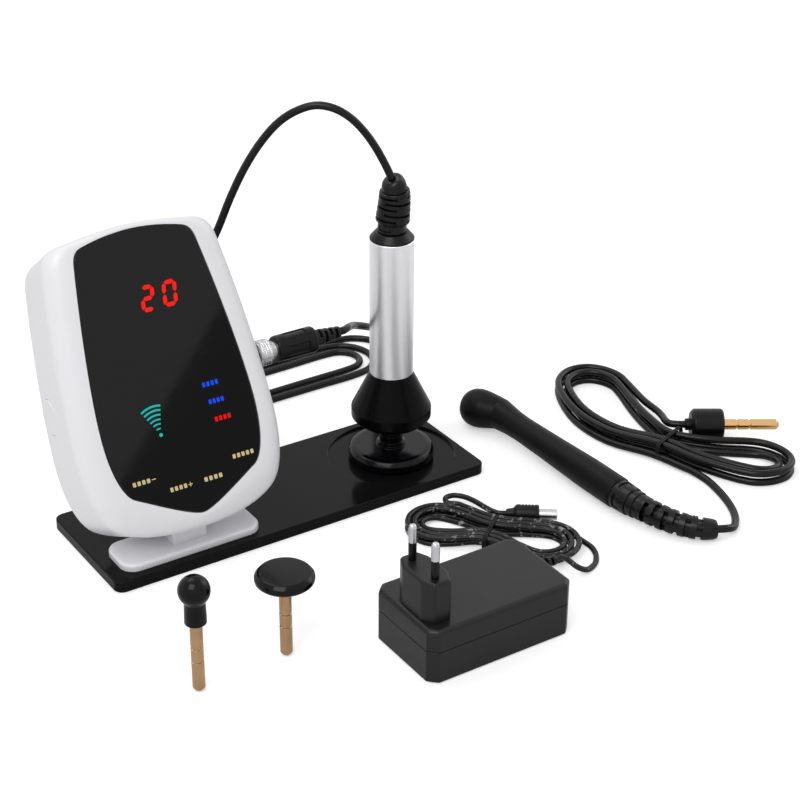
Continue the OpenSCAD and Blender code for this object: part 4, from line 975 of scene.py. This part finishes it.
def pin_profile(length, root):
    """Turned pin with two grooves, its tip at the far end and its root below 0."""
    r, g = PIN_R, PIN_R - 0.5
    grooves = [point for z in (length - 24.5, length - 17.4)
               for point in ((r, z), (g, z + 0.2), (g, z + 1.2), (r, z + 1.4))]
    return rounded([(0, -root), (r, -root)] + grooves + [(r, length - 1.6, 0.8), (r - 1.2, length - 0.3, 0.6),
                                                         (r - 2, length, 0.4), (0, length)], 0.12)


def make_handpiece():
    at = Matrix.Translation(STAND)
    disc = rounded([(0, RECESS_FLOOR), (21.3, RECESS_FLOOR, 1.2), (23.5, 6.4, 1.6), (23.5, 9.8, 2.0),
                    (22.0, 12.1, 2.2), (19.5, 12.5, 1.0), (8, 12.5, 0.5), (8, 14.1, 0.4), (6.4, 14.7, 0.6),
                    (6.4, 19.0, 0.5), (5.4, 19.7, 0.5), (5.4, 24.2, 0.5), (6.4, 24.9, 0.5), (6.4, 26.6, 0.3),
                    (PIN_BORE, 26.6)], 0.4, 6)
    disc = lathe("large_disc_turned", disc + [(PIN_BORE, 18), (0, 18)], at, 128)
    settle(disc, "black_gloss", "large_tip", ["large_disc"], 40)
    pin = lathe("large_disc_pin_turned", pin_profile(PIN_L, 8.6), at @ Matrix.Translation((0, 0, TIP_TOP)), 64)
    settle(pin, "brass", "large_tip", ["large_disc_pin"], 35)

    cone = rounded([(5.03, TIP_TOP), (17.5, TIP_TOP, 1.6), (21.8, 31, 1.2), (21.8, 36.3, 1.5),
                    (12.1, 56.2, 0.5), (TUBE_R, TUBE_LOW, 0.2), (TUBE_BORE, TUBE_LOW)], 0.3, 6)
    cone = lathe("cone_turned", cone + [(TUBE_BORE, 65), (5.03, 65), (5.03, TIP_TOP)], at, 128)
    settle(cone, "cone_black", "handpiece", ["handpiece_cone"], 40)

    low, high = TUBE_LOW + 0.12, TUBE_HIGH - 0.12
    tube = lathe("tube_polished", [(10.3, low), (11.6, low), (TUBE_R, 57.4), (TUBE_R, 134.4), (11.6, high),
                                   (10.3, high), (10.3, low)], at, 160)
    settle(tube, "chrome", "handpiece", ["handpiece_tube"], 35)

    collar = rounded([(TUBE_BORE, TUBE_HIGH), (TUBE_R, TUBE_HIGH, 0.15), (TUBE_R, 135.7, 0.6),
                      (8.9, 139.0, 0.5), (8.4, 139.2, 0.2), (3, 139.2)], 0.3, 5)
    collar = lathe("end_collar_turned", [(3, 127.7), (TUBE_BORE, 127.7)] + collar + [(3, 127.7)], at, 128)
    settle(collar, "black_satin", "handpiece", ["end_collar"], 35)

    curve = [Vector(p) for p in ((*STAND.xy, 139.25), (*STAND.xy, 149), (77, -1.5, 160.4), ARCH[-1])]
    path = [bezier(curve, k / 60) for k in range(61)]
    total = path_length(path)
    notch = lambda w: 0.9 if abs((w - radians(200) + pi) % (2 * pi) - pi) < 0.5 else 0.0
    stations = [(0.0, 7.0), (0.1, 7.5), (0.5, 7.6), (1.3, 7.6), (1.4, 7.6, notch), (3.9, 7.6, notch),
                (4.0, 7.6), (4.6, 7.7), (5.0, 8.3), (5.4, 8.8)]
    stations += slotted_run(5.7, 21.7, 9.1, 8.1, 5, 1.8, 1.2)
    stations += [(22.2, 7.9), (22.7, 7.4), (22.8, 6.2), (23.6, 6.0), (23.7, 6.7), (26.5, 6.3), (28.2, 5.7),
                 (total - 0.5, 4.8), (total - 0.1, 3.6), (total, 2.1)]
    boot = slotted("handpiece_boot_slotted", stations, path=path, sides=72)
    settle(boot, "cord_rubber", "handpiece", ["handpiece_boot"], 32)


# ---- Loose tips ----

BALL_AT = (-113.3, -127.8)
BALL_Z = 54.0
BALL_R = 7.5
DISC_AT = (-65.8, -125.6)


def loose_pin(name, at, node):
    place = Matrix.Translation((*at, PIN_L)) @ Matrix.Rotation(pi, 4, "X")
    settle(lathe(name, pin_profile(PIN_L, 6), place, 64), "brass", "stand", [node], 35)


def make_tips():
    ball = [(PIN_BORE, PIN_L), (5.0, PIN_L), (5.2, 37.3), (5.15, 41), (4.95, 47.6)]
    low = degrees(asin(4.95 / BALL_R))
    for k in range(1, 24):
        w = radians(low + (180 - low) * k / 24)
        ball.append((BALL_R * sin(w), BALL_Z - BALL_R * cos(w)))
    ball.append((0, BALL_Z + BALL_R))
    ball = lathe("ball_tip", ball, Matrix.Translation((*BALL_AT, 0)))
    settle(ball, "black_gloss", "stand", ["ball_head"], 40)
    loose_pin("ball_tip_pin", BALL_AT, "ball_pin")

    disc = rounded([(4.9, PIN_L), (5, 39, 0.3), (6.4, 39.7, 0.5), (12.0, 39.7, 1.6), (14.2, 41.6, 1.8),
                    (14.2, 43.9, 1.8), (12.4, 46, 1.6), (6, 46.15, 3.0), (0, 46.2)], 0.4, 6)
    disc = lathe("medium_disc_turned", [(PIN_BORE, PIN_L)] + disc, Matrix.Translation((*DISC_AT, 0)))
    settle(disc, "black_gloss", "stand", ["medium_disc"], 40)
    loose_pin("medium_disc_pin_turned", DISC_AT, "medium_disc_pin")


# ---- Wand ----

WAND_END = Vector((149.1, -107.1, 8.75))   # where the boot meets the handle
WAND_JOINT = Vector((145.0, -3.0, 11.2))   # where the handle meets the head
HEAD_TURN = 118


def make_wand():
    way = WAND_JOINT - WAND_END
    length = way.length
    turn = degrees(atan2(way.y, way.x))
    rise = degrees(atan2(way.z, length))
    at = along_way(WAND_END, turn, rise)
    handle = rounded([(0, 0), (8.3, 0, 0.6), (8.75, 1.6, 0.8), (8.75, 24, 30), (7.7, 60, 60), (7.3, 82, 20),
                      (7.6, 91, 20), (9.1, length, 20), (8.3, length + 3.6, 4), (5.5, length + 6.6, 4),
                      (0, length + 7.6)], 0.3, 8)
    handle = lathe("wand_handle_turned", handle, at)
    settle(handle, "wand_black", "stand", ["wand_handle"], 40)
    head = rounded([(0, -6.5), (5.0, -5.8, 3), (8.2, -3.2, 4), (9.3, 0.5, 8), (10.2, 5.0, 12), (11.0, 9.5, 12),
                    (11.1, 13, 8), (10.5, 16.4, 6), (8.8, 19.4, 5), (6.4, 21.6, 4), (3.4, 22.6, 3), (0, 22.8)],
                   2, 5)
    head = lathe("wand_head_turned", head, along_way(WAND_JOINT, HEAD_TURN))
    settle(head, "wand_black", "stand", ["wand_head"], 50)

    back = way.normalized()
    curve = [WAND_END - back * 0.2, WAND_END - back * 19, Vector((156, -150, 6)), Vector(WAND_START)]
    path = [bezier(curve, k / 80) for k in range(81)]
    total = path_length(path)
    notch = four_pads(0.7, 0.6)
    stations = [(0.0, 7.4), (0.1, 8.1), (0.4, 8.2), (2.2, 8.2), (2.3, 8.2, notch), (6.6, 8.0, notch),
                (6.7, 8.0), (9.4, 7.9), (9.8, 7.6), (10.0, 7.0), (11.4, 7.0), (11.6, 7.4), (13.6, 7.4),
                (13.9, 7.1), (14.1, 6.5), (15.4, 6.5), (15.6, 6.9), (17.2, 6.9), (17.6, 6.6)]
    stations += slotted_run(18.0, total - 6.2, 6.9, 5.9, 6, 2.7, 2.6)
    stations += [(total - 5.6, 5.8), (total - 2.0, 5.4), (total - 0.5, 4.9), (total - 0.1, 3.8), (total, 2.1)]
    boot = slotted("wand_boot_slotted", stations, path=path, ref=(0, 0, 1))
    settle(boot, "cord_rubber", "stand", ["wand_boot"], 32)

    at = along_way(JACK_REAR, JACK_TURN)
    body = rounded([(0, -3), (3.2, -3), (3.4, -2.6), (3.4, 0, 0.3), (7.2, 0, 0.6), (9, 1.7, 1.2),
                    (9, 17.2, 0.6), (8.3, 18.2, 0.4), (PIN_BORE, 18.2)], 0.3, 5)
    body = lathe("jack_body_moulded", body + [(PIN_BORE, 10.2), (0, 10.2)], at)
    settle(body, "black_satin", "stand", ["jack_body"], 40)
    pin = lathe("jack_pin_turned", pin_profile(32, 8), at @ Matrix.Translation((0, 0, 18.2)), 64)
    settle(pin, "gold", "stand", ["jack_pin"], 35)
    return body, pin


# ---- Mains adapter ----

ADAPTER = (17.8, -159.3)
ADAPTER_LENGTH = 82
ADAPTER_WIDTH = 49.5
ADAPTER_CUT = 4.6      # how much its upright corners are cut back
ADAPTER_SEAM = 16.9
ADAPTER_TOP = 28.5
TOWER = (-13.0, -163.0)
TOWER_TOP = 50.0
MAINS_R = 2.0
MAINS_HALF = 9.3       # half the distance between the mains pins


def tower_ring(z, inset):
    """Outline of the pin tower, drawn in by inset, with each corner rounded over 1.2 mm."""
    corners = ((-4.5, -14.6), (4.5, -14.6), (7.6, -8), (7.6, 8), (4.5, 14.6), (-4.5, 14.6), (-7.6, 8),
               (-7.6, -8))
    corners = [Vector((TOWER[0] + x * (1 - inset / 7.6), TOWER[1] + y * (1 - inset / 14.6)))
               for x, y in corners]
    out = []
    for i, p in enumerate(corners):
        a, b = (p + (q - p).normalized() * 1.2 for q in (corners[i - 1], corners[(i + 1) % len(corners)]))
        points = (a * (1 - t) ** 2 + p * (2 * t * (1 - t)) + b * t * t for t in (k / 3 for k in range(4)))
        out += [(q.x, q.y, z) for q in points]
    return out


def make_adapter():
    base = slab("adapter_lower", ADAPTER_LENGTH, ADAPTER_WIDTH, ADAPTER_CUT, 0.0, ADAPTER_SEAM, 0.35, 1.0,
                ADAPTER, 5, True)
    base = cut(base, rod("relief_hole", 3.2, 30, 60, toward_x(ADAPTER[0], *RELIEF[1:]), 32))
    settle(base, "adapter_shell", "stand", ["adapter_base"], 34)
    top = slab("adapter_upper", ADAPTER_LENGTH, ADAPTER_WIDTH, ADAPTER_CUT, ADAPTER_SEAM + 0.25, ADAPTER_TOP,
               2.6, 0.35, ADAPTER, 5, True, 5)
    tower = ((26, 0), (48.2, 0), (49.0, 0.15), (49.6, 0.5), (49.9, 0.95), (TOWER_TOP, 1.5))
    top = join(top, loft("tower", [tower_ring(z, inset) for z, inset in tower]))
    settle(top, "adapter_shell", "stand", ["adapter_top"], 34)

    pin = rounded([(0, 24), (1.65, 24), (1.65, 59.55), (MAINS_R, 59.6, 0.05), (MAINS_R, 67.2, 1.0),
                   (1.5, 68.5, 0.8), (0, 69)], 0.1, 5)
    sleeve = rounded([(1.68, 40), (1.95, 40), (1.95, 59.5, 0.15), (1.68, 59.5)], 0.1) + [(1.68, 40)]
    both = [Matrix.Translation((TOWER[0] - 1, TOWER[1] + y, 0)) for y in (-MAINS_HALF, MAINS_HALF)]
    for name, profile, finish, node in (("mains_pins_turned", pin, "chrome_small", "mains_pins"),
                                        ("pin_sleeves_moulded", sleeve, "black_satin", "pin_sleeves")):
        settle(join(*(lathe(name, profile, at, 48) for at in both)), finish, "stand", [node], 40)

    stations = [(-4, 3.0), (0.1, 3.1), (0.2, 4.0), (0.5, 4.2), (1.7, 4.2), (2.0, 3.9)]
    stations += slotted_run(2.6, 16.2, 3.8, 2.6, 4, 1.5, 1.6) + [(16.6, 2.6), (17.8, 2.4), (18.0, 1.9)]
    relief = slotted("adapter_relief_slotted", stations, toward_x(RELIEF_X, *RELIEF[1:]), sides=48)
    settle(relief, "cord_rubber", "stand", ["adapter_relief"], 32)

    at = along_way(DC_REAR, DC_TURN)
    ribs = [(7.6 + 1.7 * k + s, r) for k in range(5)
            for s, r in ((0, 5.0), (0.1, 4.75), (0.7, 4.75), (0.8, 5.0))]
    body = slotted("dc_plug_body_moulded",
                   [(0, 1.6), (0.1, 2.3), (0.4, 2.4), (3.8, 3.1), (4.2, 3.5), (4.9, 4.4), (5.6, 4.9),
                    (6.2, 5.0)] + ribs + [(16.6, 5.0), (17.1, 4.8), (17.3, 4.4), (17.3, 2.6)], at)
    settle(body, "black_satin", "stand", ["dc_plug_body"], 35)
    barrel = rounded([(2.5, 17.5), (2.75, 17.5), (2.75, 26.8, 0.3), (1.35, 26.8, 0.1), (1.25, 26.5, 0.1),
                      (1.25, 20.1)], 0.1)
    barrel = lathe("dc_plug_barrel_turned", [(0, 13), (2.5, 13)] + barrel + [(0, 20.1)], at, 64)
    settle(barrel, "chrome_small", "stand", ["dc_plug_barrel"], 40)
    return body, barrel


# ---- Ties round the two hanks ----

def tie_loop(name, lay, half_w, high, wire, node):
    """Wire tie: a flat-sided loop, wound twice round the bundle, with its twisted ends on top."""
    a, b = laid([(0, 0, 0), (1, 0, 0)], *lay)
    place = Matrix.Translation(a) @ Matrix.Rotation(atan2(b.y - a.y, b.x - a.x), 4, "Z")
    r = wire / 2
    corner = min(high / 2, 3.2)
    half, low, top = half_w + 0.2 - corner, r + corner, high + 0.5 - corner
    loops = []
    for x in (-0.49 * wire, 0.49 * wire):
        path = [Vector((x, sy * half + corner * cos(w), cz + corner * sin(w)))
                for sy, cz, start in ((1, top, 0), (-1, top, 90), (-1, low, 180), (1, low, 270))
                for w in (radians(start + 15 * j) for j in range(7))]
        loops.append(loft(name, path_rings(path, r, 12, (0, 1, 0), True), place, closed=True))
    twist = [Vector((0.2, -2.0 + 0.5 * k, high + 1.0 + 0.28 * sin(k * 1.1))) for k in range(10)]
    ends = loft("twist", path_rings(twist, r * 0.95, 12, (0, 0, 1)), place)
    settle(join(join(*loops), ends), "tie_black", "stand", [node], 60)


def make_ties():
    tie_loop("wand_tie", WAND_LAY, 13.3, 10.0, 1.2, "wand_cord_tie")
    tie_loop("adapter_tie", THIN_LAY, 13.0, 7.5, 1.1, "adapter_cord_tie")


make_tray()
make_console()
make_marks()
make_connector()
make_handpiece()
make_tips()
WAND_PLUG = make_wand()
DC_PLUG = make_adapter()
make_ties()
make_handpiece_cord()
make_wand_cord()
make_adapter_cord()


# ---- Floor, lights and surroundings ----

WHITE = (1, 1, 1, 1)
WORLD_LEVEL = 0.42


def stage_sheet(name, corners):
    """Flat sheet with a material of its own, which belongs to the surroundings."""
    obj = link_mesh(name, corners, [(0, 1, 2, 3)])
    mat = bpy.data.materials.new(name)
    mat.cycles.emission_sampling = "NONE"
    obj.data.materials.append(mat)
    return obj, Nodes(mat)


def make_floor():
    """Floor that keeps the shadow, lifted to white for the camera, more so where the lamps don't reach."""
    r, z = 6000, -0.2
    n = stage_sheet("floor", [(-r, -r, z), (r, -r, z), (r, r, z), (-r, r, z)])[1]
    place = n.node("NewGeometry", "Position")
    lift = n.span(n.node("VectorMath", "Value", {0: place}, operation="LENGTH"), 0.42, 0.68, 0.7, 2.6)
    n.set(Base_Color=(0.86, 0.86, 0.865, 1), Roughness=0.6, Specular_IOR_Level=0.25, Emission_Color=WHITE,
          Emission_Strength=n.math("MULTIPLY", n.node("LightPath", "Is Camera Ray"), lift))


def make_world():
    """White for camera, glossy and transmission rays, and a plain level for the light on the object."""
    scene.world = bpy.data.worlds.new("studio")
    n = Nodes(scene.world, "Background")
    camera, glossy, through = (n.node("LightPath", f"Is {kind} Ray")
                               for kind in ("Camera", "Glossy", "Transmission"))
    seen = n.math("MAXIMUM", n.math("MAXIMUM", camera, glossy), through)
    n.set(Strength=n.span(seen, WORLD_LEVEL, 1.0, 0.0, 1.0), Color=WHITE)


def make_dark_card():
    """Grey card that only reflections see: it darkens the glass below the diagonal of its sheen."""
    normal = LEANING.to_3x3() @ Vector((0, -1, 0))
    corners = []
    for a, b in ((60, 120.3), (-60, 8.5), (-90, -40), (90, -40)):
        at = LEANING @ Vector((a, 0, b))
        ray = (at - CAMERA_AT).normalized()
        corners.append(at + (ray - 2 * ray.dot(normal) * normal) * 900)
    obj, n = stage_sheet("dark_card", corners)
    n.set(Base_Color=(0.0, 0.0, 0.0, 1), Specular_IOR_Level=0.0, Emission_Color=WHITE, Emission_Strength=0.38)
    for kind in ("camera", "diffuse", "shadow", "transmission", "volume_scatter"):
        setattr(obj, "visible_" + kind, False)


def area_light(name, at, target, size, power):
    """Square lamp, in metres and watts."""
    data = bpy.data.lights.new(name, "AREA")
    data.shape, data.size, data.size_y, data.energy = "RECTANGLE", size, size, power
    obj = bpy.data.objects.new(name, data)
    obj.location = at
    obj.rotation_euler = (Vector(target) - Vector(at)).to_track_quat("-Z", "Y").to_euler()
    scene.collection.objects.link(obj)


make_floor()
make_world()
make_dark_card()
area_light("key", (-0.9, -0.7, 1.5), (0, 0, 0.05), 1.1, 14)
area_light("fill", (1.6, -0.15, 0.9), (0.05, 0, 0.08), 1.0, 5)
area_light("back", (-0.2, 0.9, 2.0), (0, 0, 0.08), 1.2, 8)

scene.view_settings.view_transform = "Standard"
